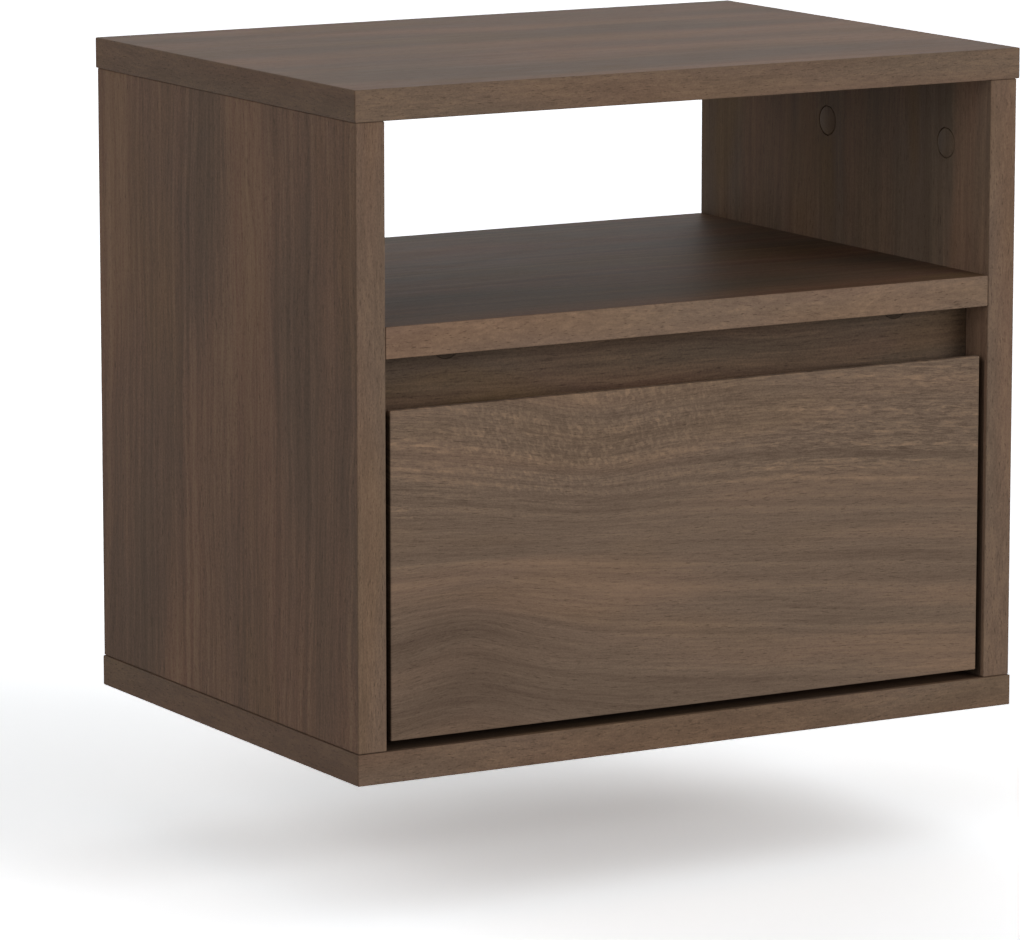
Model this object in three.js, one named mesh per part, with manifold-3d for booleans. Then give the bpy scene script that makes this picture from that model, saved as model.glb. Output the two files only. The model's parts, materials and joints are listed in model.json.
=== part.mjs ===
// Floating nightstand: an open cubby over one drawer that runs on telescopic ball-bearing slides.
// Millimetres, +X to the right, +Y back to the wall, +Z up. The origin is on the wall face.
import * as THREE from 'three';
import { RoundedBoxGeometry } from 'three/addons/geometries/RoundedBoxGeometry.js';
import { mergeVertices } from 'three/addons/utils/BufferGeometryUtils.js';
import Module from 'manifold-3d';

// Whole cabinet
const width = 440;
const depth = 320;
const height = 390;
const panelThickness = 18;
const topOverhang = 1.25; // the top stands proud of the sides at the front, left and right
const bottomOverhang = 0.75;
const edgeRadius = 0.6;
const cubbyHeight = 114.5;

// Clearances
const jointGap = 0.2; // between boards that are glued or drawn together
const fitGap = 0.3; // around anything that sits in a hole, groove or race
const overrun = 5; // how far a cutter runs past the face that it opens

// Drawer front and the rail behind the finger gap
const fingerGap = 29.5;
const drawerSetback = 2.25;
const drawerSideGap = 4;
const drawerBottomGap = 5;
const frontRunningGap = 1.75; // from the back of the drawer front to the rail
const railHeight = 52;
const fingerLand = 4; // flat strip left along the top edge of the drawer front
const fingerBevel = 14; // how far the bevel drops behind that strip

// Wall rail and back board
const wallRailHeight = 90;
const wallScrewInset = 70.75; // from the side panels
const wallScrewRadius = 3;
const wallScrewHeadRadius = 6;
const wallScrewHeadDepth = 5;
const backBoardThickness = 3;
const backBoardInset = 10; // from the wall to the back board
const grooveDepth = 6;

// Drawer box
const boxTopGap = 24.3; // from the top of the drawer box up to the rail
const boxBackGap = 30.3; // from the back of the drawer box to the wall rail
const boxLift = 10; // from the bottom edge of the drawer front up to the box
const boxWall = 12;
const boxFloorThickness = 4;
const boxFloorLift = 10; // from the bottom edge of the box up to its floor

// Cam fittings between the sides and the top and bottom
const camInset = 46; // from the front edge of a side panel to the front cams
const camPitch = 128; // from the front cams to the back cams
const topCamDrop = 41.5;
const bottomCamDrop = 24;
const camBoreRadius = 7.5;
const camBoreDepth = 14;
const camSlotLength = 10;
const camSlotWidth = 2;
const camSlotDepth = 1.6;
const coverRadius = 9;
const coverThickness = 1.2;
const railCoverReach = 6.4; // how far a rail cover hangs below the shelf
const railCoverInset = 50.75; // from the side panels
const boltHeadRadius = 2.9;
const boltHeadTipRadius = 2;
const boltHeadHeight = 3;
const boltNeckRadius = 1.8;
const boltShankRadius = 3.2;
const boltThreadRadius = 2.6;
const boltThreadLength = 11;

// Dowels of the shelf
const dowelRadius = 4;
const dowelLength = 30;
const dowelInSide = 12; // the part of a dowel that is in the side panel
const dowelInset = 60;

// Telescopic slides. Their sections are drawn as offset from the side panel and height above the middle.
const slideThickness = 12.7;
const outerSheet = 1.2;
const innerSheet = 1;
const cageSheet = 0.5;
const webGap = 0.65; // between the webs of two nested members
const ballGap = 0.25;
const outerBallRadius = 1.75;
const innerBallRadius = 1.5;
const outerRowOffset = 4.5;
const outerRowHeight = 18.6;
const innerCornerRadius = 1.5;
const cageLip = 0.25; // how far a cage reaches past its balls
const cageLength = 90;
const ballPitch = 15;
const ballsPerRow = 6;
const windowLength = 24;
const windowHeight = 12;
const windowPitch = 70;
const windowCount = 3;

// Where the races of the slides start and end, in degrees round their row of balls
const outerRaceEnd = 15;
const rowTurn = -35; // from the outer row of balls to the inner row
const middleRaceEnd = 25;
const innerRaceEnd = -150;

// Screws
const screwHeadRadius = 3.5;
const screwHeadHeight = 2.2;
const screwShankRadius = 1.75;
const screwPointLength = 3;
const screwPointRadius = 0.4;
const screwSlotLength = 3.6;
const screwSlotWidth = 1;
const screwSlotDepth = 1.2;
const sideScrewLength = 14;
const boxScrewLength = 10;
const frontScrewLength = 24;
const slideScrewInset = 37; // from the ends of a slide
const frontScrewInset = 56.05; // from the sides of the drawer box

// Facets
const edgeSteps = 1;
const roundSteps = 20;
const smallRoundSteps = 8;
const arcSteps = 4;
const ballSteps = 8;
const ballRings = 4;

// Planes that the boards share, measured from the wall and from the underside of the cabinet
const carcassHalf = width / 2 - topOverhang;
const innerHalf = carcassHalf - panelThickness;
const sideMiddle = carcassHalf - panelThickness / 2;
const carcassFront = topOverhang - depth;
const sideBottom = panelThickness;
const sideTop = height - panelThickness;
const shelfTop = sideTop - cubbyHeight;
const shelfUnder = shelfTop - panelThickness;
const railTop = shelfUnder - jointGap;
const railBottom = railTop - railHeight;
const drawerTop = shelfUnder - fingerGap;
const drawerBottom = sideBottom + drawerBottomGap;
const drawerFace = carcassFront + drawerSetback;
const drawerBack = drawerFace + panelThickness;
const railFace = drawerBack + frontRunningGap;
const wallRailFront = -panelThickness;
const wallRailBottom = railTop - wallRailHeight;
const wallRailMiddle = (railTop + wallRailBottom) / 2;
const boxHalf = innerHalf - slideThickness;
const boxInnerHalf = boxHalf - boxWall;
const boxFront = drawerBack + jointGap;
const boxBack = wallRailFront - boxBackGap;
const boxBottom = drawerBottom + boxLift;
const boxTop = railBottom - boxTopGap;
const boxFloor = boxBottom + boxFloorLift;
const slideMiddle = (boxBottom + boxTop) / 2;
const slideLength = boxBack - boxFront;
const coverRecess = coverThickness + fitGap;

const walnut = new THREE.MeshStandardMaterial({ color: 0x6b5344, roughness: 0.55 });
const boxWood = new THREE.MeshStandardMaterial({ color: 0xb79c7a, roughness: 0.6 });
const backBoardWood = new THREE.MeshStandardMaterial({ color: 0x5f4a3d, roughness: 0.65 });
const dowelWood = new THREE.MeshStandardMaterial({ color: 0xc9ac80, roughness: 0.7 });
const zincSteel = new THREE.MeshStandardMaterial({ color: 0xb9bcc0, roughness: 0.35, metalness: 1 });
const castZinc = new THREE.MeshStandardMaterial({ color: 0x9fa3a8, roughness: 0.45, metalness: 1 });
const coverPlastic = new THREE.MeshStandardMaterial({ color: 0x5c483c, roughness: 0.5 });

const wasm = await Module();
wasm.setup();

// A closed geometry as a solid that can be joined and cut.
function solidOf(geometry) {
  const bare = geometry.clone();
  bare.deleteAttribute('normal');
  bare.deleteAttribute('uv');
  const merged = mergeVertices(bare);
  const vertProperties = merged.attributes.position.array;
  const triVerts = new Uint32Array(merged.index.array);
  return new wasm.Manifold(new wasm.Mesh({ numProp: 3, vertProperties, triVerts }));
}

// The surface of a solid as a flat-shaded geometry.
function geometryOf(solid) {
  const { vertProperties, triVerts } = solid.getMesh();
  const indexed = new THREE.BufferGeometry();
  indexed.setAttribute('position', new THREE.BufferAttribute(vertProperties, 3));
  indexed.setIndex(new THREE.BufferAttribute(triVerts, 1));
  const geometry = indexed.toNonIndexed();
  geometry.computeVertexNormals();
  return geometry;
}

function cut(geometry, cutters) {
  return geometryOf(cutters.reduce((solid, cutter) => solid.subtract(solidOf(cutter)), solidOf(geometry)));
}

function join(geometries) {
  return geometryOf(geometries.map(solidOf).reduce((whole, solid) => whole.add(solid)));
}

// Adds a named mesh. Its geometry is drawn about its place, and its cutters in the cabinet's frame.
function addPart(group, name, material, geometry, place, cutters = []) {
  const back = place.map((value) => -value);
  const placed = cutters.map((cutter) => cutter.clone().translate(...back));
  const mesh = new THREE.Mesh(cutters.length > 0 ? cut(geometry, placed) : geometry, material);
  mesh.name = name;
  mesh.position.set(...place);
  group.add(mesh);
}

// A board with eased edges between two opposite corners.
function addBoard(group, name, material, low, high, cutters = []) {
  const size = low.map((value, axis) => high[axis] - value);
  const centre = low.map((value, axis) => value + size[axis] / 2);
  addPart(group, name, material, new RoundedBoxGeometry(...size, edgeSteps, edgeRadius), centre, cutters);
}

// A sharp box between two opposite corners.
function block(low, high) {
  const size = low.map((value, axis) => high[axis] - value);
  return new THREE.BoxGeometry(...size).translate(...low.map((value, axis) => value + size[axis] / 2));
}

// Turns a geometry that stands along +Y to point along a direction.
function aim(geometry, direction) {
  const up = new THREE.Vector3(0, 1, 0);
  const turn = new THREE.Quaternion().setFromUnitVectors(up, new THREE.Vector3(...direction).normalize());
  return geometry.applyQuaternion(turn);
}

// A round bar between two points.
function rod(start, end, radius, steps = roundSteps) {
  const along = end.map((value, axis) => value - start[axis]);
  const bar = new THREE.CylinderGeometry(radius, radius, Math.hypot(...along), steps);
  return aim(bar, along).translate(...start.map((value, axis) => value + along[axis] / 2));
}

// A turned piece. Each point gives a radius and a place along the axis, which stands along +Y.
function turned(points, steps = smallRoundSteps) {
  return new THREE.LatheGeometry(points.map(([radius, along]) => new THREE.Vector2(radius, along)), steps);
}

// The low and high X of something that spans two distances from the middle, on one side of it.
function across(side, near, far) {
  return side > 0 ? [near, far] : [-far, -near];
}

const sides = [
  { side: -1, hand: 'left' },
  { side: 1, hand: 'right' },
];
const ends = [
  { end: 'front', toBack: 1, edge: carcassFront, camPlace: carcassFront + camInset },
  { end: 'back', toBack: -1, edge: 0, camPlace: carcassFront + camInset + camPitch },
];

// Cam fittings. A cam lies in a bore in the inner face of a side panel, and draws in the head of a
// bolt that stands in the top or the bottom panel. A cover hides each upper cam.
const camLevels = [
  { level: 'top', toward: 1, edge: sideTop, drop: topCamDrop, recess: coverRecess },
  { level: 'bottom', toward: -1, edge: sideBottom, drop: bottomCamDrop, recess: 0 },
];
const fittings = camLevels.flatMap((camLevel) => sides.flatMap((sideOf) => ends.map((endOf) => ({
  ...camLevel,
  ...sideOf,
  name: `${camLevel.level}_${sideOf.hand}_${endOf.end}`,
  y: endOf.camPlace,
  z: camLevel.edge - camLevel.toward * camLevel.drop,
}))));

function camHoles({ side, toward, edge, recess, y, z }) {
  const mouth = [side * (innerHalf - overrun), y, z];
  const holes = [
    rod(mouth, [side * (innerHalf + camBoreDepth), y, z], camBoreRadius),
    rod([side * sideMiddle, y, z], [side * sideMiddle, y, edge + toward * overrun],
      boltShankRadius + fitGap, smallRoundSteps),
  ];
  if (recess > 0) holes.push(rod(mouth, [side * (innerHalf + recess), y, z], coverRadius + fitGap));
  return holes;
}

function threadHole({ side, toward, edge, y }) {
  const start = [side * sideMiddle, y, edge - toward * overrun];
  const end = [side * sideMiddle, y, edge + toward * (boltThreadLength + fitGap)];
  return rod(start, end, boltThreadRadius + fitGap, smallRoundSteps);
}

// A cam with a cross slot in its face and a pocket that takes the head of its bolt.
function camGeometry({ side, toward, recess }) {
  const radius = camBoreRadius - fitGap;
  const face = recess > 0 ? recess + fitGap : 0;
  const boltPlane = panelThickness / 2 - face;
  const length = camBoreDepth - fitGap - face;
  const reach = camSlotLength / 2;
  const half = camSlotWidth / 2;
  const geometry = cut(rod([0, 0, 0], [length, 0, 0], radius), [
    block([-overrun, -reach, -half], [camSlotDepth, reach, half]),
    block([-overrun, -half, -reach], [camSlotDepth, half, reach]),
    rod([boltPlane, 0, -boltHeadHeight / 2 - fitGap], [boltPlane, 0, radius + overrun],
      boltHeadRadius + fitGap, smallRoundSteps),
  ]);
  if (toward < 0) geometry.rotateX(Math.PI);
  if (side < 0) geometry.rotateZ(Math.PI);
  return { geometry, face };
}

// A bolt, from its head in the cam to the end of its thread in the panel.
function boltGeometry({ toward, drop }) {
  const bolt = turned([
    [0, -boltHeadHeight / 2],
    [boltHeadTipRadius, -boltHeadHeight / 2],
    [boltHeadRadius, 0],
    [boltHeadTipRadius, boltHeadHeight / 2],
    [boltNeckRadius, boltHeadHeight / 2],
    [boltNeckRadius, camBoreRadius],
    [boltShankRadius, camBoreRadius + boltNeckRadius],
    [boltShankRadius, drop - fitGap],
    [boltThreadRadius, drop],
    [boltThreadRadius, drop + boltThreadLength],
    [0, drop + boltThreadLength],
  ]);
  return aim(bolt, [0, 0, toward]);
}

// Countersunk screws. The face of the head is at zero, and grow widens the screw into its hole.
function screwGeometry(length, grow = 0) {
  const mouth = grow > 0 ? [[0, -overrun], [screwHeadRadius + grow, -overrun]] : [[0, 0]];
  const screw = turned([
    ...mouth,
    [screwHeadRadius + grow, 0],
    [screwShankRadius + grow, screwHeadHeight],
    [screwShankRadius + grow, length - screwPointLength],
    [screwPointRadius + grow, length + grow],
    [0, length + grow],
  ]);
  if (grow > 0) return screw;
  const reach = screwSlotLength / 2;
  const half = screwSlotWidth / 2;
  return cut(screw, [
    block([-reach, -overrun, -half], [reach, screwSlotDepth, half]),
    block([-half, -overrun, -reach], [half, screwSlotDepth, reach]),
  ]);
}

function screwHole({ place, direction, length }) {
  return aim(screwGeometry(length, fitGap), direction).translate(...place);
}

const slideScrews = sides.flatMap(({ side, hand }) => ends.flatMap(({ end, toBack }) => {
  const y = (toBack > 0 ? boxFront : boxBack) + toBack * slideScrewInset;
  const outerWebFace = side * (innerHalf - jointGap - outerSheet);
  const innerWebFace = side * (boxHalf + jointGap + innerSheet);
  return [
    {
      name: `${hand}_slide_screw_${end}`, side, onDrawer: false, length: sideScrewLength,
      place: [outerWebFace, y, slideMiddle], direction: [side, 0, 0],
    },
    {
      name: `${hand}_drawer_screw_${end}`, side, onDrawer: true, length: boxScrewLength,
      place: [innerWebFace, y, slideMiddle], direction: [-side, 0, 0],
    },
  ];
}));

const frontScrews = sides.map(({ side, hand }) => ({
  name: `front_screw_${hand}`,
  length: frontScrewLength,
  place: [side * (boxInnerHalf - frontScrewInset), boxFront + boxWall, slideMiddle],
  direction: [0, -1, 0],
}));

const shelfDowels = sides.flatMap(({ side, hand }) => ends.map(({ end, toBack, edge }) => ({
  name: `shelf_dowel_${hand}_${end}`,
  side,
  y: edge + toBack * dowelInset,
})));

// A dowel, or with grow its hole, which runs from the side panel into the shelf.
function dowelGeometry({ side, y }, grow = 0) {
  const z = shelfTop - panelThickness / 2;
  const outer = innerHalf + dowelInSide + grow;
  const inner = innerHalf + dowelInSide - dowelLength - grow;
  return rod([side * inner, y, z], [side * outer, y, z], dowelRadius + grow, smallRoundSteps);
}

const dowelHoles = shelfDowels.map((dowel) => dowelGeometry(dowel, fitGap));

const backBoardGroove = block(
  [-innerHalf - grooveDepth, -backBoardInset - backBoardThickness - fitGap, sideBottom - grooveDepth],
  [innerHalf + grooveDepth, -backBoardInset + fitGap, wallRailBottom + grooveDepth],
);

const boxFloorGroove = block(
  [-boxInnerHalf - grooveDepth, boxFront + boxWall - grooveDepth, boxFloor - fitGap],
  [boxInnerHalf + grooveDepth, boxBack - boxWall + grooveDepth, boxFloor + boxFloorThickness + fitGap],
);

// A round cover in the rail, cut off straight at the top where the shelf closes it.
function railCover(side, radius, thickness) {
  const x = side * (innerHalf - railCoverInset);
  const z = shelfUnder - railCoverReach + coverRadius;
  return rod([x, railFace, z], [x, railFace + thickness, z], radius);
}

function addCarcass(group) {
  const half = width / 2;
  const bottomHalf = carcassHalf + bottomOverhang;
  const holesAt = (level) => fittings.filter((fitting) => fitting.level === level).map(threadHole);
  addBoard(group, 'top_panel', walnut, [-half, -depth, sideTop], [half, 0, height], holesAt('top'));
  addBoard(group, 'bottom_panel', walnut,
    [-bottomHalf, carcassFront - bottomOverhang, 0], [bottomHalf, 0, sideBottom],
    [...holesAt('bottom'), backBoardGroove]);

  for (const { side, hand } of sides) {
    const [low, high] = across(side, innerHalf, carcassHalf);
    addBoard(group, `${hand}_side_panel`, walnut,
      [low, carcassFront, sideBottom + jointGap], [high, 0, sideTop - jointGap], [
        ...fittings.filter((fitting) => fitting.side === side).flatMap(camHoles),
        ...slideScrews.filter((screw) => screw.side === side && !screw.onDrawer).map(screwHole),
        ...dowelHoles,
        backBoardGroove,
      ]);
  }

  const between = innerHalf - jointGap;
  addBoard(group, 'shelf', walnut, [-between, carcassFront, shelfUnder], [between, 0, shelfTop], dowelHoles);

  const railMouth = sides.map(({ side }) => join([
    railCover(side, coverRadius + fitGap, coverRecess),
    railCover(side, coverRadius + fitGap, -overrun),
  ]));
  addBoard(group, 'front_rail', walnut,
    [-between, railFace, railBottom], [between, railFace + panelThickness, railTop], railMouth);

  const wallScrewHoles = sides.flatMap(({ side }) => {
    const x = side * (innerHalf - wallScrewInset);
    return [
      rod([x, overrun, wallRailMiddle], [x, wallRailFront - overrun, wallRailMiddle], wallScrewRadius),
      rod([x, wallRailFront - overrun, wallRailMiddle],
        [x, wallRailFront + wallScrewHeadDepth, wallRailMiddle], wallScrewHeadRadius),
    ];
  });
  addBoard(group, 'wall_rail', walnut,
    [-between, wallRailFront, wallRailBottom], [between, 0, railTop], [...wallScrewHoles, backBoardGroove]);

  const boardHalf = innerHalf + grooveDepth - fitGap;
  addBoard(group, 'back_board', backBoardWood,
    [-boardHalf, -backBoardInset - backBoardThickness, sideBottom - grooveDepth + fitGap],
    [boardHalf, -backBoardInset, wallRailBottom + grooveDepth - fitGap]);
}

function addFittings(group) {
  for (const fitting of fittings) {
    const { name, side, recess, y, z } = fitting;
    const { geometry, face } = camGeometry(fitting);
    addPart(group, `cam_${name}`, castZinc, geometry, [side * (innerHalf + face), y, z]);
    addPart(group, `bolt_${name}`, zincSteel, boltGeometry(fitting), [side * sideMiddle, y, z]);
    if (recess > 0) {
      const cover = rod([0, 0, 0], [side * coverThickness, 0, 0], coverRadius);
      addPart(group, `cover_${name}`, coverPlastic, cover, [side * innerHalf, y, z]);
    }
  }
  for (const { side, hand } of sides) {
    const above = block([-width, railFace - overrun, railTop], [width, railFace + overrun, height]);
    addPart(group, `rail_cover_${hand}`, coverPlastic, railCover(side, coverRadius, coverThickness),
      [0, 0, 0], [above]);
  }
  for (const dowel of shelfDowels) {
    addPart(group, dowel.name, dowelWood, dowelGeometry(dowel), [0, 0, 0]);
  }
}

function addDrawer(group) {
  const frontHalf = innerHalf - drawerSideGap;
  const bevel = new THREE.Shape([
    new THREE.Vector2(drawerFace + fingerLand - overrun, drawerTop + overrun),
    new THREE.Vector2(drawerBack + overrun, drawerTop - fingerBevel - overrun),
    new THREE.Vector2(drawerBack + overrun, drawerTop + overrun),
  ]);
  const fingerPull = new THREE.ExtrudeGeometry(bevel, { depth: width, bevelEnabled: false })
    .rotateX(Math.PI / 2)
    .rotateZ(Math.PI / 2)
    .translate(-width / 2, 0, 0);
  addBoard(group, 'drawer_front', walnut,
    [-frontHalf, drawerFace, drawerBottom], [frontHalf, drawerBack, drawerTop],
    [fingerPull, ...frontScrews.map(screwHole)]);

  for (const { side, hand } of sides) {
    const [low, high] = across(side, boxInnerHalf, boxHalf);
    addBoard(group, `drawer_${hand}_side`, boxWood, [low, boxFront, boxBottom], [high, boxBack, boxTop], [
      boxFloorGroove,
      ...slideScrews.filter((screw) => screw.side === side && screw.onDrawer).map(screwHole),
    ]);
  }
  const between = boxInnerHalf - jointGap;
  addBoard(group, 'drawer_inner_front', boxWood,
    [-between, boxFront, boxBottom], [between, boxFront + boxWall, boxTop],
    [boxFloorGroove, ...frontScrews.map(screwHole)]);
  addBoard(group, 'drawer_back', boxWood,
    [-between, boxBack - boxWall, boxBottom], [between, boxBack, boxTop], [boxFloorGroove]);
  const reach = grooveDepth - fitGap;
  addBoard(group, 'drawer_floor', boxWood,
    [-boxInnerHalf - reach, boxFront + boxWall - reach, boxFloor],
    [boxInnerHalf + reach, boxBack - boxWall + reach, boxFloor + boxFloorThickness]);
}

// Sections of the telescopic slides, as the line through the middle of a bent sheet. Each is drawn
// from the middle up, and mirrored below. A race is an arc round a row of balls.
const radians = THREE.MathUtils.degToRad;

function onCircle(centre, radius, angle) {
  return centre.clone().add(new THREE.Vector2(radius, 0).rotateAround(new THREE.Vector2(), radians(angle)));
}

function arc(centre, radius, from, to) {
  return Array.from({ length: arcSteps + 1 }, (_, step) =>
    onCircle(centre, radius, THREE.MathUtils.lerp(from, to, step / arcSteps)));
}

const outerWeb = jointGap + outerSheet / 2;
const outerCageWeb = outerWeb + outerSheet / 2 + webGap + cageSheet / 2;
const middleWeb = outerCageWeb + cageSheet / 2 + webGap + innerSheet / 2;
const innerCageWeb = middleWeb + innerSheet / 2 + webGap + cageSheet / 2;
const innerWeb = slideThickness - jointGap - innerSheet / 2;
const outerRace = outerBallRadius + ballGap + outerSheet / 2;
const middleOuterRace = outerBallRadius + ballGap + innerSheet / 2;
const innerRace = innerBallRadius + ballGap + innerSheet / 2;
const outerRow = new THREE.Vector2(outerRowOffset, outerRowHeight);
const innerRow = onCircle(outerRow, middleOuterRace + innerRace, rowTurn);

const outerMemberPath = [
  new THREE.Vector2(outerWeb, 0),
  ...arc(new THREE.Vector2(outerWeb + outerRace, outerRowHeight), outerRace, 180, 90),
  ...arc(outerRow, outerRace, 90, outerRaceEnd),
];

const middleCorner = outerRowOffset - middleWeb;
const middleCornerCentre = outerRow.clone().sub(new THREE.Vector2(0, middleOuterRace + middleCorner));
const middleMemberPath = [
  new THREE.Vector2(middleWeb, 0),
  ...arc(middleCornerCentre, middleCorner, 180, 90),
  ...arc(outerRow, middleOuterRace, -90, rowTurn).slice(1),
  ...arc(innerRow, innerRace, 180 + rowTurn, middleRaceEnd).slice(1),
];

const innerFlange = innerRow.y - innerRace;
const innerCorner = new THREE.Vector2(innerWeb - innerCornerRadius, innerFlange - innerCornerRadius);
const innerMemberPath = [
  new THREE.Vector2(innerWeb, 0),
  ...arc(innerCorner, innerCornerRadius, 0, 90),
  ...arc(innerRow, innerRace, -90, innerRaceEnd),
];

const outerCagePath = [
  new THREE.Vector2(outerCageWeb, 0),
  new THREE.Vector2(outerCageWeb, outerRowHeight),
  new THREE.Vector2(outerRowOffset + outerBallRadius + cageLip, outerRowHeight),
];

// The inner cage passes halfway between the middle member and the end of the inner member's race.
const raceEdge = onCircle(innerRow, innerRace + innerSheet / 2, innerRaceEnd);
const passLength = (middleOuterRace + innerSheet / 2 + outerRow.distanceTo(raceEdge)) / 2;
const pass = outerRow.clone().add(raceEdge.clone().sub(outerRow).setLength(passLength));
const innerCagePath = [
  new THREE.Vector2(innerCageWeb, 0),
  new THREE.Vector2(innerCageWeb, pass.y - (pass.x - innerCageWeb)),
  pass,
  new THREE.Vector2(innerRow.x - innerBallRadius, innerRow.y),
  new THREE.Vector2(innerRow.x + innerBallRadius + cageLip, innerRow.y),
];

// The outline of a bent sheet, a given distance to each side of its middle line.
function sheetOutline(path, sheet) {
  const normals = path.slice(1).map((point, index) => {
    const along = point.clone().sub(path[index]).normalize();
    return new THREE.Vector2(-along.y, along.x);
  });
  const offset = (distance) => path.map((point, index) => {
    const before = normals[Math.max(index - 1, 0)];
    const after = normals[Math.min(index, normals.length - 1)];
    const mitre = before.clone().add(after).multiplyScalar(distance / (1 + before.dot(after)));
    return point.clone().add(mitre);
  });
  return [...offset(sheet / 2), ...offset(-sheet / 2).reverse()];
}

// A bent sheet that runs forward from its place at the side panel.
function sheetGeometry(side, halfPath, sheet, length) {
  const mirrored = halfPath.slice(1).reverse().map(({ x, y }) => new THREE.Vector2(x, -y));
  const outline = sheetOutline([...mirrored, ...halfPath], sheet);
  const shape = new THREE.Shape(outline.map(({ x, y }) => new THREE.Vector2(-side * x, y)));
  const extrusion = new THREE.ExtrudeGeometry(shape, { depth: length, bevelEnabled: false });
  return extrusion.rotateX(Math.PI / 2);
}

// A cage with its two rows of balls, one above and one below the middle.
function cageGeometry(side, path, row, radius) {
  const strip = sheetGeometry(side, path, cageSheet, cageLength);
  const balls = [-row.y, row.y].flatMap((z) => Array.from({ length: ballsPerRow }, (_, index) => {
    const y = -cageLength / 2 + (index - (ballsPerRow - 1) / 2) * ballPitch;
    return new THREE.SphereGeometry(radius, ballSteps, ballRings).translate(-side * row.x, y, z);
  }));
  return join([strip, ...balls]);
}

// Openings in the middle member that give access to the screws behind it.
function slideWindows(side) {
  const reach = (windowLength - windowHeight) / 2;
  const [low, high] = across(side, innerHalf - slideThickness, innerHalf);
  const half = windowHeight / 2;
  return Array.from({ length: windowCount }, (_, index) => {
    const y = (boxFront + boxBack) / 2 + (index - (windowCount - 1) / 2) * windowPitch;
    return join([
      block([low, y - reach, slideMiddle - half], [high, y + reach, slideMiddle + half]),
      rod([low, y - reach, slideMiddle], [high, y - reach, slideMiddle], half, smallRoundSteps),
      rod([low, y + reach, slideMiddle], [high, y + reach, slideMiddle], half, smallRoundSteps),
    ]);
  });
}

function addSlide(group, side, hand) {
  const place = [side * innerHalf, boxBack, slideMiddle];
  const cagePlace = [side * innerHalf, (boxFront + boxBack + cageLength) / 2, slideMiddle];
  const screws = slideScrews.filter((screw) => screw.side === side);
  const holes = (onDrawer) => screws.filter((screw) => screw.onDrawer === onDrawer).map(screwHole);
  const add = (name, ...rest) => addPart(group, `${hand}_slide_${name}`, zincSteel, ...rest);

  add('cabinet_member', sheetGeometry(side, outerMemberPath, outerSheet, slideLength), place, holes(false));
  add('outer_cage', cageGeometry(side, outerCagePath, outerRow, outerBallRadius), cagePlace);
  add('middle_member', sheetGeometry(side, middleMemberPath, innerSheet, slideLength), place,
    slideWindows(side));
  add('inner_cage', cageGeometry(side, innerCagePath, innerRow, innerBallRadius), cagePlace);
  add('drawer_member', sheetGeometry(side, innerMemberPath, innerSheet, slideLength), place, holes(true));
}

function addScrews(group, screws) {
  for (const { name, place, direction, length } of screws) {
    addPart(group, name, zincSteel, aim(screwGeometry(length), direction), place);
  }
}

const cabinet = new THREE.Group();
addCarcass(cabinet);
addFittings(cabinet);

const drawer = new THREE.Group();
addDrawer(drawer);
addScrews(drawer, frontScrews);

const slides = new THREE.Group();
for (const { side, hand } of sides) addSlide(slides, side, hand);
addScrews(slides, slideScrews);

const nightstand = new THREE.Group();
nightstand.add(cabinet, drawer, slides);
nightstand.position.z = -wallRailMiddle; // the middle of the wall rail's back face is the origin

export default nightstand;
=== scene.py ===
"""Looks of a floating nightstand in stained walnut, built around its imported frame.

Metres, +X to the right seen from the front, +Y back into the wall, +Z up, as in the frame. Sizes of
small parts are written in millimetres and multiplied by MM.
"""

import json
import logging
import math
from dataclasses import dataclass, field, replace
from enum import Enum
from functools import cache
from itertools import product

import bmesh
import bpy
from mathutils import Matrix, Vector

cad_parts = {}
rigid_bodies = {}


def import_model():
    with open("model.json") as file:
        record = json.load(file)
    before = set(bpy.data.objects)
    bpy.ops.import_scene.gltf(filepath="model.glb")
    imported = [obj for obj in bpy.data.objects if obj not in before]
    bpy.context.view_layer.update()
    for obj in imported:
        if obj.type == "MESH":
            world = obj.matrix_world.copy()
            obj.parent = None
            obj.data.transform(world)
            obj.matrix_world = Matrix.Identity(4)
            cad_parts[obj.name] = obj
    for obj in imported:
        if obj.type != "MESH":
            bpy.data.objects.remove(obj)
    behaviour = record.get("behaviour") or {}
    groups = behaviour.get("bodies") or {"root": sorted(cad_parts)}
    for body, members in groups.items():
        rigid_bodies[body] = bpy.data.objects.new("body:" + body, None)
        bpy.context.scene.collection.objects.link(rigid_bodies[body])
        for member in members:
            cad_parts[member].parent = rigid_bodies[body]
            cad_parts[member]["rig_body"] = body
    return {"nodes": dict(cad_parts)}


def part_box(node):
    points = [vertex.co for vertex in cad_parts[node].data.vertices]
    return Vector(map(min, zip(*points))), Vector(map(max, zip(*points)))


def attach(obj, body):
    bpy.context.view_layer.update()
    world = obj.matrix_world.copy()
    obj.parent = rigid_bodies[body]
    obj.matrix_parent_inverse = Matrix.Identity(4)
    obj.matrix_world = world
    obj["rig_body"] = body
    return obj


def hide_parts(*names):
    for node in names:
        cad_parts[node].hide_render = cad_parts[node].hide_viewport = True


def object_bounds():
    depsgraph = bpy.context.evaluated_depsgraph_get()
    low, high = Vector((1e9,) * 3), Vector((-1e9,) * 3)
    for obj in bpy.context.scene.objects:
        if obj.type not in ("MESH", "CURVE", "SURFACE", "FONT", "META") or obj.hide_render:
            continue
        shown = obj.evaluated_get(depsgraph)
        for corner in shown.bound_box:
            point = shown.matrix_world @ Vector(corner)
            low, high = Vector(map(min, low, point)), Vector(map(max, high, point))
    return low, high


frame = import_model()
cad_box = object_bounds()

log = logging.getLogger("nightstand")

MM = 0.001
AXIS = 0.3  # radius at which turned shapes are closed at their axis, in millimetres
SHARP = math.radians(32.0)
ORIGIN = Vector()
UP = Vector((0.0, 0.0, 1.0))
HANDS = ("left", "right")
ENDS = ("front", "back")

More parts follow.
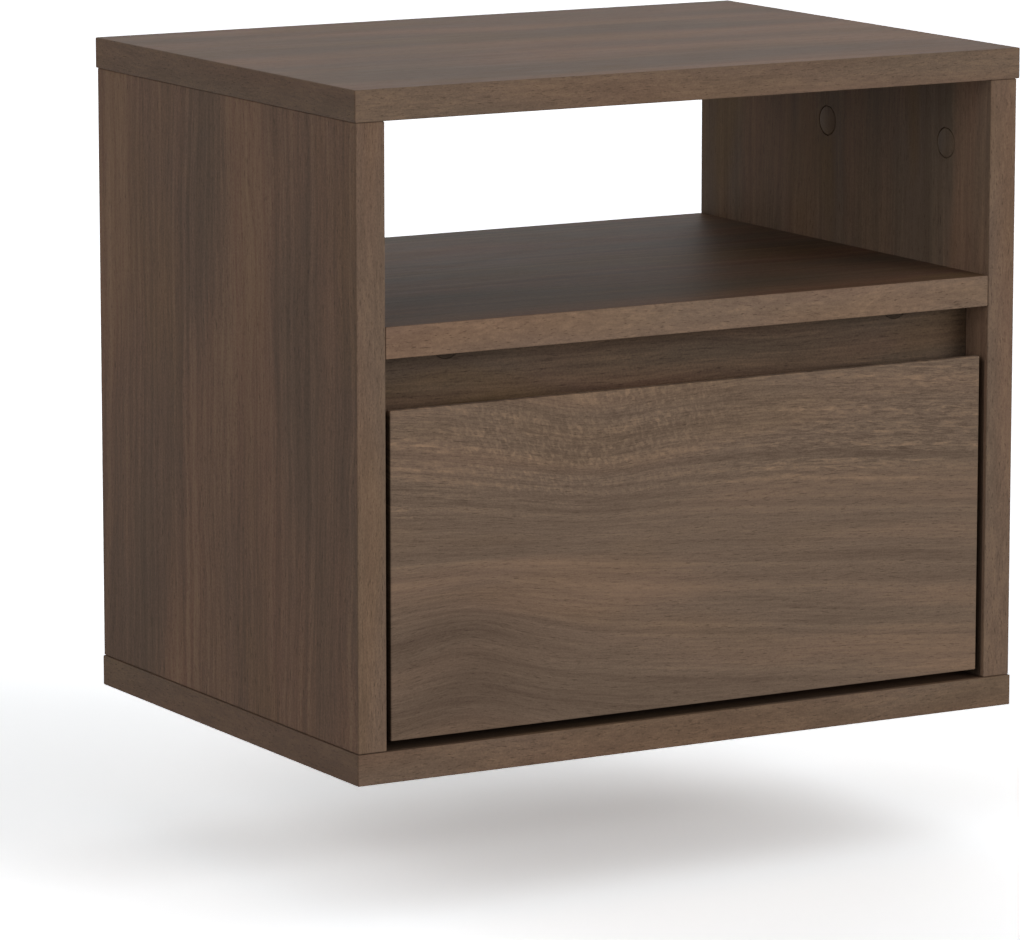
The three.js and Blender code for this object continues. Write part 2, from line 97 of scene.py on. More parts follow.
Socket = bpy.types.NodeSocket
Share = Socket | float
Colour = tuple[float, float, float, float]
Scale = tuple[float, float, float]
Profile = list[tuple[float, float]]


def linear(code: int) -> Colour:
    """Turns a screen colour into the linear colour that a shader takes.

    Args:
        code: The colour as 0xRRGGBB.

    Returns:
        Linear red, green, blue and an alpha of one.
    """
    screen = [(code >> shift & 0xFF) / 0xFF for shift in (16, 8, 0)]
    red, green, blue = (
        part / 12.92 if part <= 0.04045 else ((part + 0.055) / 1.055) ** 2.4 for part in screen
    )
    return red, green, blue, 1.0


@cache
def box_of(node: str) -> tuple[Vector, Vector]:
    """Gives the lowest and highest corner of a node, measured once."""
    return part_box(node)


def middle(node: str) -> Vector:
    """Gives the middle of a node's box."""
    low, high = box_of(node)
    return (low + high) / 2


class NodeBench:
    """Adds and joins the nodes of one shader."""

    def __init__(self, owner: bpy.types.Material | bpy.types.World) -> None:
        """Empties the owner's node tree, to fill it afresh.

        Args:
            owner: The material or the world.
        """
        owner.use_nodes = True
        self.tree = owner.node_tree
        self.tree.nodes.clear()

    def add(self, kind: str, inputs: dict | None = None, **settings: str) -> bpy.types.Node:
        """Adds one node.

        Args:
            kind: The node's type name.
            inputs: Sockets by name or index, each with a value or with the socket that feeds it.
            **settings: Properties of the node.

        Returns:
            The new node.
        """
        node = self.tree.nodes.new(kind)
        for name, value in settings.items():
            setattr(node, name, value)
        for key, value in (inputs or {}).items():
            if isinstance(value, Socket):
                self.tree.links.new(value, node.inputs[key])
            else:
                node.inputs[key].default_value = value
        return node

    def place(self) -> Socket:
        """Gives the place on the piece, which moves along with its body."""
        return self.add("ShaderNodeTexCoord").outputs["Object"]

    def math(self, operation: str, *values: Share) -> Socket:
        """Applies one arithmetic operation to sockets or numbers."""
        return self.add("ShaderNodeMath", dict(enumerate(values)), operation=operation).outputs[0]

    def vector(self, operation: str, *values: Socket | Scale) -> Socket:
        """Applies one operation to vectors."""
        return self.add("ShaderNodeVectorMath", dict(enumerate(values)), operation=operation).outputs[0]

    def stretch(self, vector: Socket, scale: Socket | Scale) -> Socket:
        """Multiplies a vector by a scale for each axis."""
        return self.vector("MULTIPLY", vector, scale)

    def scaled(self, vector: Socket | Scale, factor: Share) -> Socket:
        """Multiplies a vector by one factor."""
        return self.add("ShaderNodeVectorMath", {0: vector, 3: factor}, operation="SCALE").outputs[0]

    def split(self, vector: Socket) -> list[Socket]:
        """Gives the three parts of a vector."""
        return list(self.add("ShaderNodeSeparateXYZ", {0: vector}).outputs)

    def joined(self, *parts: Socket) -> Socket:
        """Makes a vector of three parts."""
        return self.add("ShaderNodeCombineXYZ", dict(enumerate(parts))).outputs[0]

    def noise(self, vector: Socket, detail: float = 2.0, roughness: float = 0.5,
              swirl: float = 0.0) -> Socket:
        """Makes smooth noise that turns over about once for each unit of the vector.

        Args:
            vector: Where to look the noise up.
            detail: How many finer layers are added.
            roughness: How strong the finer layers are.
            swirl: How far the noise is distorted.

        Returns:
            Values about one half.
        """
        sockets = {
            "Vector": vector, "Scale": 1.0, "Detail": detail, "Roughness": roughness, "Distortion": swirl,
        }
        return self.add("ShaderNodeTexNoise", sockets, noise_dimensions="3D").outputs[0]

    def noise_along(self, value: Socket, detail: float, roughness: float) -> Socket:
        """Makes noise that depends on one value alone."""
        sockets = {"W": value, "Scale": 1.0, "Detail": detail, "Roughness": roughness}
        return self.add("ShaderNodeTexNoise", sockets, noise_dimensions="1D").outputs[0]

    def remap(self, value: Share, low: float, high: float, to_low: float, to_high: float) -> Socket:
        """Maps one range on another and stops at its ends."""
        sockets = dict(enumerate((value, low, high, to_low, to_high)))
        return self.add("ShaderNodeMapRange", sockets).outputs[0]

    def centred(self, noise: Socket) -> Socket:
        """Spreads noise from minus a half to a half."""
        return self.remap(noise, 0.3, 0.7, -0.5, 0.5)

    def between(self, share: Share, plain: float, other: float) -> Socket:
        """Gives the first number where a share is nought, and the second where it is one."""
        return self.remap(share, 0.0, 1.0, plain, other)

    def mix(self, factor: Share, first: Socket | Colour, second: Socket | Colour) -> Socket:
        """Mixes two colours."""
        return self.add("ShaderNodeMix", {0: factor, 6: first, 7: second}, data_type="RGBA").outputs[2]

    def mix_vectors(self, factor: Share, first: Socket | Scale, second: Socket | Scale) -> Socket:
        """Mixes two vectors."""
        return self.add("ShaderNodeMix", {0: factor, 4: first, 5: second}, data_type="VECTOR").outputs[1]

    def bump(self, height: Socket, distance: float) -> Socket:
        """Turns a height into a normal. The distance is that of a height of one, in metres."""
        sockets = {"Strength": 1.0, "Distance": distance, "Height": height}
        return self.add("ShaderNodeBump", sockets).outputs[0]

    def surface(self, **inputs: Share) -> None:
        """Ends the tree in one plain shader.

        Args:
            **inputs: The shader's sockets by name, with _ for a space.
        """
        sockets = {name.replace("_", " "): value for name, value in inputs.items()}
        shader = self.add("ShaderNodeBsdfPrincipled", sockets)
        self.add("ShaderNodeOutputMaterial", {"Surface": shader.outputs[0]})


class Grain(Enum):
    """The direction that the grain runs in, as the turn that lays it along the first axis."""

    ACROSS = (0.0, 0.0, 0.0)
    UPRIGHT = (0.0, math.pi / 2, 0.0)


@dataclass(frozen=True)
class Swell:
    """A place where the grain bends round a knot, in metres. The depth is below nought above a knot.

    It has no effect at the height called free and its whole effect at the height called full.
    """

    centre: float
    depth: float
    width: float
    free: float
    full: float
    shade: float = 0.0


@dataclass(frozen=True)
class Log:
    """Where a veneer lies in its log, in metres, and its look. The grain runs along the first axis.

    The grain is calm below the first of the heights in calm, and whole above the second.
    """

    seed: float
    pith: tuple[float, float] = (0.9, 0.35)
    taper: float = 0.01
    wander: float = 0.004
    swells: tuple[Swell, ...] = ()
    figure: float = 0.0
    calm: tuple[float, float] | None = None
    red: float = 0.5
    variety: float = 1.0
    contrast: float = 1.0
    clouds: float = 1.0
    shade: float = 1.0
    band_shade: float = 1.0
    end_shade: float = 0.84
    banded: bool = True
    # Whether the board takes the painted shade in the drawer's bay.
    in_shaded_bay: bool = False


@dataclass(frozen=True)
class Laid:
    """Where a point of a board was in its log, and how much it feels each swell."""

    radius: Socket
    drift: Socket
    height: Socket
    bells: tuple[Socket, ...]


@dataclass(frozen=True)
class WalnutFinish:
    """Stained walnut veneer under a satin lacquer. Scales are the number of marks in a metre.

    Pairs of scales are for a board and for the strips that are glued on its edges.
    """

    slot: str = "walnut"
    tan: int = 0x6B5A4C
    russet: int = 0x735444
    ochre: int = 0x705940
    sage: int = 0x5F5344
    deep: int = 0x4B3C32
    pale: int = 0x8E745D
    pore: int = 0x33271F
    bands: float = 150.0
    roughness: float = 0.50
    specular: float = 0.025
    band_depth: float = 0.5 * MM
    # Painted shade in the drawer's bay: how far it darkens the wood, and its edges by the drawer front, the
    # sides, the top and the bottom panel.
    painted_bay_shade: float = 0.45
    painted_bay_front: tuple[float, float] = (0.3 * MM, 1.0 * MM)
    painted_bay_side: tuple[float, float] = (0.2 * MM, 0.3 * MM)
    painted_bay_top: tuple[float, float] = (4.0 * MM, 1.0 * MM)
    painted_bay_floor: float = 0.3 * MM
    broad_scales: tuple[Scale, Scale] = ((4, 26, 26), (26, 90, 90))
    fibre_scales: tuple[Scale, Scale] = ((28, 560, 560), (110, 560, 560))
    pore_scales: tuple[Scale, Scale] = ((150, 1400, 1400), (260, 1400, 1400))
    speckle_scale: Scale = (800, 900, 900)
    hue_scale: Scale = (4, 26, 26)
    grey_scale: Scale = (5, 20, 18)
    wander_scale: Scale = (5, 14, 14)
    fleck_scale: Scale = (90, 560, 60)
    upright_scale: Scale = (440, 250, 60)
    upright_turn: float = 0.45
    patch_scale: Scale = (8, 22, 4)
    seed_steps: Scale = (1.7, 2.3, 3.1)
    strip_offset: Scale = (0.37, 0.61, 0.83)
    ring_depths: tuple[float, float] = (0.36, 0.1)
    fibre_depth: float = 0.34
    speckle_depth: float = 0.24
    cloud_depths: tuple[float, float] = (0.22, 0.2)
    calm_share: float = 0.7
    strip_contrast: float = 0.75
    strip_variety: float = 0.35
    strip_red: float = 0.2

    def band(self, bench: NodeBench, place: Socket, node: str, ends: bool) -> tuple[Socket, Share, Socket]:
        """Finds the strips that are glued on a board's front edge and ends.

        Args:
            bench: The shader to add to.
            place: The place on the piece.
            node: The board.
            ends: Whether the left and right ends have strips too, whose grain runs from front to back.

        Returns:
            One on the strips, one on those of the ends, and the place with the strips of the ends turned.
        """
        low, high = box_of(node)
        x, y, z = bench.split(place)
        strip, end = bench.math("LESS_THAN", y, low.y + self.band_depth), 0.0
        if ends:
            end = bench.math("GREATER_THAN", bench.math("ABSOLUTE", x), high.x - self.band_depth)
            place = bench.mix_vectors(end, place, bench.joined(y, x, z))
            strip = bench.math("MAXIMUM", strip, end)
        return strip, end, place

    def bay(self, bench: NodeBench, place: Socket) -> Socket:
        """Finds the bay of the drawer behind the drawer front's face, where painted shade darkens the wood.

        Args:
            bench: The shader to add to.
            place: The place on the piece.

        Returns:
            One in the bay and nought outside.
        """
        front = box_of("drawer_front")
        inner = box_of("right_side_panel")[0].x
        x, y, z = bench.split(place)
        share = bench.remap(y, front[0].y + self.painted_bay_front[0], front[0].y + self.painted_bay_front[1], 0.0, 1.0)
        for inside in (
            bench.remap(bench.math("ABSOLUTE", x), *(inner + edge for edge in self.painted_bay_side), 1.0, 0.0),
            bench.remap(z, *(front[1].z - edge for edge in self.painted_bay_top), 1.0, 0.0),
            bench.math("GREATER_THAN", z, box_of("bottom_panel")[1].z - self.painted_bay_floor),
        ):
            share = bench.math("MULTIPLY", share, inside)
        return share

    def lay(self, bench: NodeBench, grain: Grain, log_place: Log, place: Socket, strip: Share) -> Laid:
        """Finds where a point of the board was in the log.

        Args:
            bench: The shader to add to.
            grain: The direction of the board's grain.
            log_place: Where the board's veneer lies in its log.
            place: The place on the piece.
            strip: One on the strips along the edges, which come from another part of the log.

        Returns:
            The place in the log.
        """
        offset = tuple(log_place.seed * step for step in self.seed_steps)
        board = bench.add("ShaderNodeMapping", {"Vector": place, "Rotation": grain.value}).outputs[0]
        apart = bench.vector("ADD", bench.scaled(self.strip_offset, strip), offset)
        sample = bench.stretch(bench.vector("ADD", board, apart), self.wander_scale)
        wander = bench.remap(bench.noise(sample), 0.2, 0.8, -1.0, 1.0)
        shake = bench.math("MULTIPLY", wander, log_place.wander)
        along, over, height = bench.split(board)
        bells = tuple(self.bell(bench, along, height, swell) for swell in log_place.swells)
        through = height
        for bell, swell in zip(bells, log_place.swells):
            through = bench.math("MULTIPLY_ADD", bell, swell.depth, through)
        over = bench.math("ADD", bench.math("ADD", over, log_place.pith[0]), shake)
        through = bench.math("ADD", bench.math("ADD", through, log_place.pith[1]), shake)
        square = bench.math("ADD", bench.math("POWER", over, 2.0), bench.math("POWER", through, 2.0))
        radius = bench.math("MULTIPLY_ADD", along, log_place.taper, bench.math("SQRT", square))
        drift = bench.vector("ADD", bench.joined(along, radius, through), apart)
        return Laid(radius, drift, height, bells)

    def bell(self, bench: NodeBench, along: Socket, height: Socket, swell: Swell) -> Socket:
        """Gives how much a point feels a swell of the grain.

        Args:
            bench: The shader to add to.
            along: The point's place along the grain.
            height: Its height on the board.
            swell: The swell.

        Returns:
            From nought to one.
        """
        place = bench.math("DIVIDE", bench.math("SUBTRACT", along, swell.centre), swell.width)
        bell = bench.math("DIVIDE", 1.0, bench.math("MULTIPLY_ADD", place, place, 1.0))
        return bench.math("MULTIPLY", bell, bench.remap(height, swell.free, swell.full, 0.0, 1.0))

    def streaks(self, bench: NodeBench, drift: Socket, strip: Share, board: Scale, edge: Scale,
                detail: float = 1.0) -> Socket:
        """Makes noise that is drawn out along a board and shorter on the strips along its edges.

        Args:
            bench: The shader to add to.
            drift: The place in the log.
            strip: One on the strips.
            board: The scale of the noise on the board.
            edge: The scale of the noise on the strips.
            detail: How many finer layers are added.

        Returns:
            Values about one half.
        """
        lines = bench.stretch(drift, bench.mix_vectors(strip, board, edge))
        return bench.noise(lines, detail=detail, roughness=0.6)

    def flecks(self, bench: NodeBench, rings: Socket, laid: Laid, log_place: Log) -> Socket:
        """Gives the short wavy flecks, which stand across the rings where the grain swells first.

        Args:
            bench: The shader to add to.
            rings: The light and dark of the rings.
            laid: The place in the log.
            log_place: Where the board's veneer lies in its log.

        Returns:
            The change of the wood's tone.
        """
        lying = bench.noise(bench.stretch(laid.drift, self.fleck_scale), roughness=0.6, swirl=1.0)
        fleck = bench.remap(lying, 0.32, 0.68, -0.5, 0.5)
        if laid.bells:
            slanted = bench.add("ShaderNodeMapping", {
                "Vector": laid.drift,
                "Rotation": (0.0, 0.0, self.upright_turn),
                "Scale": tuple(1 / count for count in self.upright_scale),
            }, vector_type="TEXTURE").outputs[0]
            standing = bench.remap(bench.noise(slanted, detail=1.0, swirl=0.4), 0.42, 0.72, -0.22, 0.42)
            upright = bench.remap(laid.bells[0], 0.12, 0.40, 0.0, 1.0)
            fleck = bench.add("ShaderNodeMix", {0: upright, 2: fleck, 3: standing}).outputs[0]
        patch = bench.noise(bench.stretch(laid.drift, self.patch_scale), detail=1.0)
        patch = bench.remap(patch, 0.36, 0.56, 0.6, 1.0)
        share = bench.math("MULTIPLY", patch, bench.remap(rings, 0.35, 0.6, 0.35, 1.0))
        if log_place.calm:
            share = bench.math("MULTIPLY", share, bench.remap(laid.height, *log_place.calm, 0.0, 1.0))
        return bench.math("MULTIPLY", bench.math("MULTIPLY", fleck, share), log_place.figure)

    def tone(self, bench: NodeBench, laid: Laid, log_place: Log, strip: Share, fibres: Socket) -> Socket:
        """Gives the light and dark of the wood.

        Args:
            bench: The shader to add to.
            laid: The place in the log.
            log_place: Where the board's veneer lies in its log.
            strip: One on the strips.
            fibres: The noise of the fibres.

        Returns:
            Below nought where the wood is darker.
        """
        rings = bench.noise_along(bench.math("MULTIPLY", laid.radius, self.bands), detail=3.0, roughness=0.6)
        broad = self.streaks(bench, laid.drift, strip, *self.broad_scales)
        speckle = bench.noise(bench.stretch(laid.drift, self.speckle_scale), detail=1.0)
        fine = bench.math("MULTIPLY", bench.centred(rings), bench.between(strip, *self.ring_depths))
        fine = bench.math("MULTIPLY_ADD", bench.centred(fibres), self.fibre_depth, fine)
        fine = bench.math("MULTIPLY_ADD", bench.centred(speckle), self.speckle_depth, fine)
        contrast = bench.between(strip, log_place.contrast, self.strip_contrast)
        if log_place.calm:
            calmest = self.calm_share * log_place.contrast
            contrast = bench.remap(laid.height, *log_place.calm, calmest, log_place.contrast)
        tone = bench.math("MULTIPLY", fine, contrast)
        on_board, on_strip = self.cloud_depths
        clouds = bench.between(strip, on_board * log_place.clouds, on_strip)
        tone = bench.math("MULTIPLY_ADD", bench.centred(broad), clouds, tone)
        for bell, swell in zip(laid.bells, log_place.swells):
            tone = bench.math("MULTIPLY_ADD", bell, swell.shade, tone)
        if log_place.figure > 0:
            tone = bench.math("ADD", tone, self.flecks(bench, rings, laid, log_place))
        return tone

    def hue(self, bench: NodeBench, laid: Laid, log_place: Log, strip: Share) -> Socket:
        """Gives the colour of the wood before its light and dark.

        Args:
            bench: The shader to add to.
            laid: The place in the log.
            log_place: Where the board's veneer lies in its log.
            strip: One on the strips.

        Returns:
            The colour.
        """
        hues = bench.noise(bench.stretch(laid.drift, self.hue_scale), detail=1.0)
        greys = bench.noise(bench.stretch(laid.drift, self.grey_scale))
        variety = bench.between(strip, log_place.variety, self.strip_variety)
        red = bench.between(strip, log_place.red, self.strip_red)
        lean = bench.math("MULTIPLY_ADD", bench.remap(hues, 0.35, 0.65, -0.5, 0.5), variety, red)
        wood = bench.mix(lean, linear(self.tan), linear(self.russet))
        grey = bench.math("MULTIPLY", bench.remap(greys, 0.50, 0.68, 0.0, 0.5), variety)
        wood = bench.mix(grey, wood, linear(self.sage))
        yellow = bench.math("MULTIPLY", bench.remap(greys, 0.34, 0.48, 0.7, 0.0), variety)
        return bench.mix(yellow, wood, linear(self.ochre))

    def dress(self, name: str, grain: Grain, log_place: Log, board: str = "") -> bpy.types.Material:
        """Makes the material of one board.

        Args:
            name: The material's name.
            grain: The direction of the board's grain.
            log_place: Where the board's veneer lies in its log.
            board: The node whose edges have glued strips, if any.

        Returns:
            The material.
        """
        material = bpy.data.materials.new(name)
        bench = NodeBench(material)
        place = here = bench.place()
        strip = end = 0.0
        if board and log_place.banded:
            strip, end, place = self.band(bench, place, board, board in ("top_panel", "bottom_panel"))
        laid = self.lay(bench, grain, log_place, place, strip)
        fibres = self.streaks(bench, laid.drift, strip, *self.fibre_scales, detail=2.0)
        pores = self.streaks(bench, laid.drift, strip, *self.pore_scales)
        tone = self.tone(bench, laid, log_place, strip, fibres)
        wood = self.hue(bench, laid, log_place, strip)
        wood = bench.mix(bench.remap(tone, -0.6, 0.0, 0.85, 0.0), wood, linear(self.deep))
        wood = bench.mix(bench.remap(tone, 0.0, 0.6, 0.0, 0.85), wood, linear(self.pale))
        dashes = bench.remap(pores, 0.60, 0.74, 0.0, 0.5)
        wood = bench.mix(dashes, wood, linear(self.pore))
        gain = bench.between(strip, log_place.shade, log_place.band_shade)
        gain = bench.math("MULTIPLY", gain, bench.between(end, 1.0, log_place.end_shade))
        # Painted shade: the wood in the drawer's bay is darkened, so that the gaps round the drawer front
        # show dark.
        if log_place.in_shaded_bay:
            dark = bench.between(self.bay(bench, here), 1.0, self.painted_bay_shade)
            gain = bench.math("MULTIPLY", dark, gain)
        height = bench.math("SUBTRACT", bench.math("MULTIPLY", fibres, 0.4), dashes)
        rough = bench.remap(fibres, 0.25, 0.75, self.roughness - 0.06, self.roughness + 0.06)
        bench.surface(Base_Color=bench.scaled(wood, gain), Roughness=rough,
                      Specular_IOR_Level=self.specular, Normal=bench.bump(height, 0.06 * MM))
        return material


class Through(Enum):
    """The axis that a sheet's thickness lies on, with the stretch that lays its grain lengthwise."""

    X = (0, (1.0, 0.05, 1.0))
    Y = (1, (0.05, 1.0, 1.0))
    Z = (2, (0.05, 1.0, 1.0))


@dataclass(frozen=True)
class PlywoodFinish:
    """Clear lacquered birch plywood, with its plies showing at the edges."""

    slot: str = "box_wood"
    face: int = 0xC9AF88
    figure: int = 0xAE8D60
    cross_ply: int = 0xA78660
    glue: int = 0x7A5C3E
    ply: float = 1.4 * MM
    face_ply: float = 0.9 * MM
    roughness: float = 0.45

    def dress(self, name: str, through: Through, node: str) -> bpy.types.Material:
        """Makes the material of one sheet.

        Args:
            name: The material's name.
            through: The axis of the sheet's thickness.
            node: The node whose box gives where the plies are.

        Returns:
            The material.
        """
        axis, lengthwise = through.value
        low, high = (corner[axis] for corner in box_of(node))
        material = bpy.data.materials.new(name)
        bench = NodeBench(material)
        place = bench.place()
        depth = bench.split(place)[axis]
        inward = bench.math("ABSOLUTE", bench.math("SUBTRACT", depth, (low + high) / 2))
        turn = bench.math("FRACT", bench.math("DIVIDE", inward, 2 * self.ply))
        crossed = bench.math("GREATER_THAN", turn, 0.5)
        inside = bench.math("LESS_THAN", inward, (high - low) / 2 - self.face_ply)
        crossed = bench.math("MULTIPLY", crossed, inside)
        half_turn = bench.math("FRACT", bench.math("MULTIPLY", turn, 2.0))
        seam = bench.math("ABSOLUTE", bench.math("SUBTRACT", half_turn, 0.5))
        seam = bench.math("MULTIPLY", bench.math("GREATER_THAN", seam, 0.44), inside)

        lines = bench.stretch(place, tuple(520 * part for part in lengthwise))
        grain = bench.noise(lines, detail=3.0, roughness=0.6)
        clouds = bench.noise(bench.stretch(place, tuple(32 * part for part in lengthwise)), detail=2.0)
        streak = bench.math("MULTIPLY_ADD", clouds, 0.7, bench.math("MULTIPLY", grain, 0.5))
        wood = bench.mix(bench.remap(streak, 0.45, 0.75, 0.0, 0.8), linear(self.face), linear(self.figure))
        speckle = bench.noise(bench.stretch(place, (1800, 1800, 1800)), detail=1.0)
        speckle = bench.remap(speckle, 0.35, 0.65, 0.0, 0.5)
        crossing = bench.mix(speckle, linear(self.cross_ply), linear(self.glue))
        wood = bench.mix(crossed, wood, crossing)
        wood = bench.mix(bench.math("MULTIPLY", seam, 0.7), wood, linear(self.glue))
        rough = bench.remap(grain, 0.3, 0.7, self.roughness - 0.05, self.roughness + 0.08)
        bench.surface(Base_Color=wood, Roughness=rough, Specular_IOR_Level=0.35,
                      Normal=bench.bump(grain, 0.03 * MM))
        return material


@dataclass(frozen=True)
class SpeckledFinish:
    """A dull surface with fine flecks of a second colour, such as pressed board or beech."""

    slot: str
    ground: int
    fleck: int
    scale: Scale
    share: float = 0.6
    roughness: float = 0.65
    relief: float = 0.05 * MM

    def dress(self, name: str) -> bpy.types.Material:
        """Makes the material.

        Args:
            name: The material's name.

        Returns:
            The material.
        """
        material = bpy.data.materials.new(name)
        bench = NodeBench(material)
        place = bench.place()
        flecks = bench.noise(bench.stretch(place, self.scale), detail=3.0, roughness=0.65, swirl=0.5)
        clouds = bench.noise(bench.stretch(place, (24, 24, 24)), detail=2.0)
        share = bench.remap(flecks, 0.42, 0.7, 0.0, self.share)
        colour = bench.mix(share, linear(self.ground), linear(self.fleck))
        colour = bench.mix(bench.remap(clouds, 0.45, 0.75, 0.0, 0.25), colour, linear(self.fleck))
        rough = bench.remap(flecks, 0.3, 0.7, self.roughness - 0.08, self.roughness + 0.08)
        bench.surface(Base_Color=colour, Roughness=rough, Specular_IOR_Level=0.3,
                      Normal=bench.bump(flecks, self.relief))
        return material


@dataclass(frozen=True)
class MetalFinish:
    """Bare or plated metal. Rolled sheet has long lines, cast metal is mottled."""

    slot: str
    bright: int
    dull: int
    scale: Scale
    smoothest: float
    roughest: float
    relief: float = 0.01 * MM

    def dress(self, name: str) -> bpy.types.Material:
        """Makes the material.

        Args:
            name: The material's name.

        Returns:
            The material.
        """
        material = bpy.data.materials.new(name)
        bench = NodeBench(material)
        place = bench.place()
        lines = bench.noise(bench.stretch(place, self.scale), detail=3.0, roughness=0.6)
        stains = bench.noise(bench.stretch(place, (90, 60, 90)), detail=3.0, roughness=0.6)
        both = bench.math("MULTIPLY_ADD", lines, 0.6, bench.math("MULTIPLY", stains, 0.4))
        colour = bench.mix(bench.remap(both, 0.35, 0.65, 0.0, 1.0), linear(self.bright), linear(self.dull))
        rough = bench.remap(both, 0.35, 0.65, self.smoothest, self.roughest)
        bench.surface(Base_Color=colour, Metallic=1.0, Roughness=rough, Normal=bench.bump(lines, self.relief))
        return material


WALNUT = WalnutFinish()
COVER_FOIL = WalnutFinish(slot="cover_plastic", roughness=0.45)
LEFT_VENEER = Log(
    seed=3.0, red=0.55, variety=0.38, contrast=0.92, clouds=2.0, shade=0.94, band_shade=1.10, in_shaded_bay=True)
# The right side's shade of 1.24 is painted light: the whole panel is lightened so that its inner face, in
# shade between the shelf and the top, shows lighter.
RIGHT_VENEER = Log(seed=4.0, red=0.0, contrast=0.7, clouds=1.5, shade=1.24, band_shade=1.12, in_shaded_bay=True)
RAIL_VENEER = Log(seed=6.0, red=0.3, contrast=1.2, shade=0.72, banded=False)
BACK_BOARD = SpeckledFinish(
    "back_board", ground=0x5B4638, fleck=0x86705A, scale=(300, 300, 900), roughness=0.7)
DOWEL = SpeckledFinish("dowel_wood", ground=0xC7A97E, fleck=0x9C7B54, scale=(120, 1700, 1700), share=0.5)
ROLLED_STEEL = MetalFinish("slide_steel", 0xC4C8CB, 0xAEB2B5, (1500, 12, 1500), 0.28, 0.38)
# Darker steel for the slides' cabinet members: painted shade, so that the gap beside the drawer front shows
# dark.
GAP_SHADE_STEEL = MetalFinish("slide_steel", 0x5E6164, 0x4C4F52, (1500, 12, 1500), 0.5, 0.62)
CAGE_STEEL = MetalFinish("cage_steel", 0xA9ACAE, 0x85888B, (1500, 20, 1500), 0.34, 0.46)
BALL_STEEL = MetalFinish("cage_steel", 0xD4D7DA, 0xC2C6C9, (900, 900, 900), 0.07, 0.13)
SCREW_ZINC = MetalFinish("zinc_steel", 0xC3C6C8, 0x9EA2A5, (2200, 2200, 2200), 0.26, 0.42)
CAST_ZINC = MetalFinish("cast_zinc", 0x9DA0A3, 0x7C8083, (1400, 1400, 1400), 0.42, 0.6, relief=0.05 * MM)


def ring_shape(rings: list[list[Vector]]) -> bmesh.types.BMesh:
    """Skins a row of closed rings and closes both ends.

    Args:
        rings: The rings, which all have the same number of points.

    Returns:
        The closed mesh.
    """
    shape = bmesh.new()
    rows = [[shape.verts.new(point) for point in ring] for ring in rings]
    for near, far in zip(rows, rows[1:]):
        for index in range(len(near)):
            shape.faces.new((near[index - 1], near[index], far[index], far[index - 1]))
    shape.faces.new(rows[0])
    shape.faces.new(rows[-1])
    bmesh.ops.recalc_face_normals(shape, faces=shape.faces)
    return shape


def level_ring(radii: list[float], along: float) -> list[Vector]:
    """Gives a ring about the third axis.

    Args:
        radii: The radius at each point, in millimetres.
        along: The ring's place along the axis, in millimetres.

    Returns:
        The points, in metres.
    """
    turns = [math.tau * index / len(radii) for index in range(len(radii))]
    return [
        Vector((radius * math.cos(turn), radius * math.sin(turn), along)) * MM
        for radius, turn in zip(radii, turns)
    ]


def turned(profile: Profile, segments: int = 48) -> bmesh.types.BMesh:
    """Turns a profile of radii and places along about the third axis."""
    return ring_shape([level_ring([radius] * segments, along) for radius, along in profile])


@dataclass(frozen=True)
class Thread:
    """A screw thread, in millimetres along the screw."""

    start: float
    end: float
    core: float
    crest: float
    pitch: float
    flank: float = 0.36

    def radius(self, along: float, turn: float) -> float:
        """Gives the radius of the thread.

        Args:
            along: The place along the screw.
            turn: The turn about it, from nought to one.

        Returns:
            The radius.
        """
        phase = (along / self.pitch - turn) % 1.0
        ridge = max(0.0, 1.0 - abs(phase - 0.5) / self.flank)
        ends = min((along - self.start) / self.pitch, (self.end - along) / self.pitch, 1.0)
        return self.core + (self.crest - self.core) * ridge * max(ends, 0.0)

    def shape(self, before: Profile, after: Profile, segments: int = 20, steps: int = 7) -> bmesh.types.BMesh:
        """Makes the screw.

        Args:
            before: The turned profile from the head to the thread.
            after: The turned profile from the thread to the point.
            segments: Points round the screw.
            steps: Rings for each turn of the thread.

        Returns:
            The closed mesh about the third axis.
        """
        count = math.ceil((self.end - self.start) / self.pitch * steps)
        places = [self.start + (self.end - self.start) * index / count for index in range(count + 1)]
        turns = [index / segments for index in range(segments)]
        rings = [level_ring([radius] * segments, along) for radius, along in before]
        rings += [level_ring([self.radius(along, turn) for turn in turns], along) for along in places]
        rings += [level_ring([radius] * segments, along) for radius, along in after]
        return ring_shape(rings)


def new_object(name: str, shape: bmesh.types.BMesh, place: Vector = ORIGIN,
               direction: Vector = UP) -> bpy.types.Object:
    """Makes an object of a shape that is drawn about the third axis.

    Args:
        name: The object's name.
        shape: The shape, which is freed.
        place: Where the shape's origin comes.
        direction: Where the shape's third axis points.

    Returns:
        The object, with its place in its mesh and its own origin at the frame's.
    """
    turn = UP.rotation_difference(direction).to_matrix().to_4x4()
    mesh = bpy.data.meshes.new(name)
    shape.transform(Matrix.Translation(place) @ turn)
    shape.to_mesh(mesh)
    shape.free()
    made = bpy.data.objects.new(name, mesh)
    bpy.context.scene.collection.objects.link(made)
    return made


def block(low: Vector, high: Vector) -> bmesh.types.BMesh:
    """Makes a sharp block between two corners, to cut with."""
    corners = [(low.x, low.y), (high.x, low.y), (high.x, high.y), (low.x, high.y)]
    return ring_shape([[Vector((x, y, z)) for x, y in corners] for z in (low.z, high.z)])


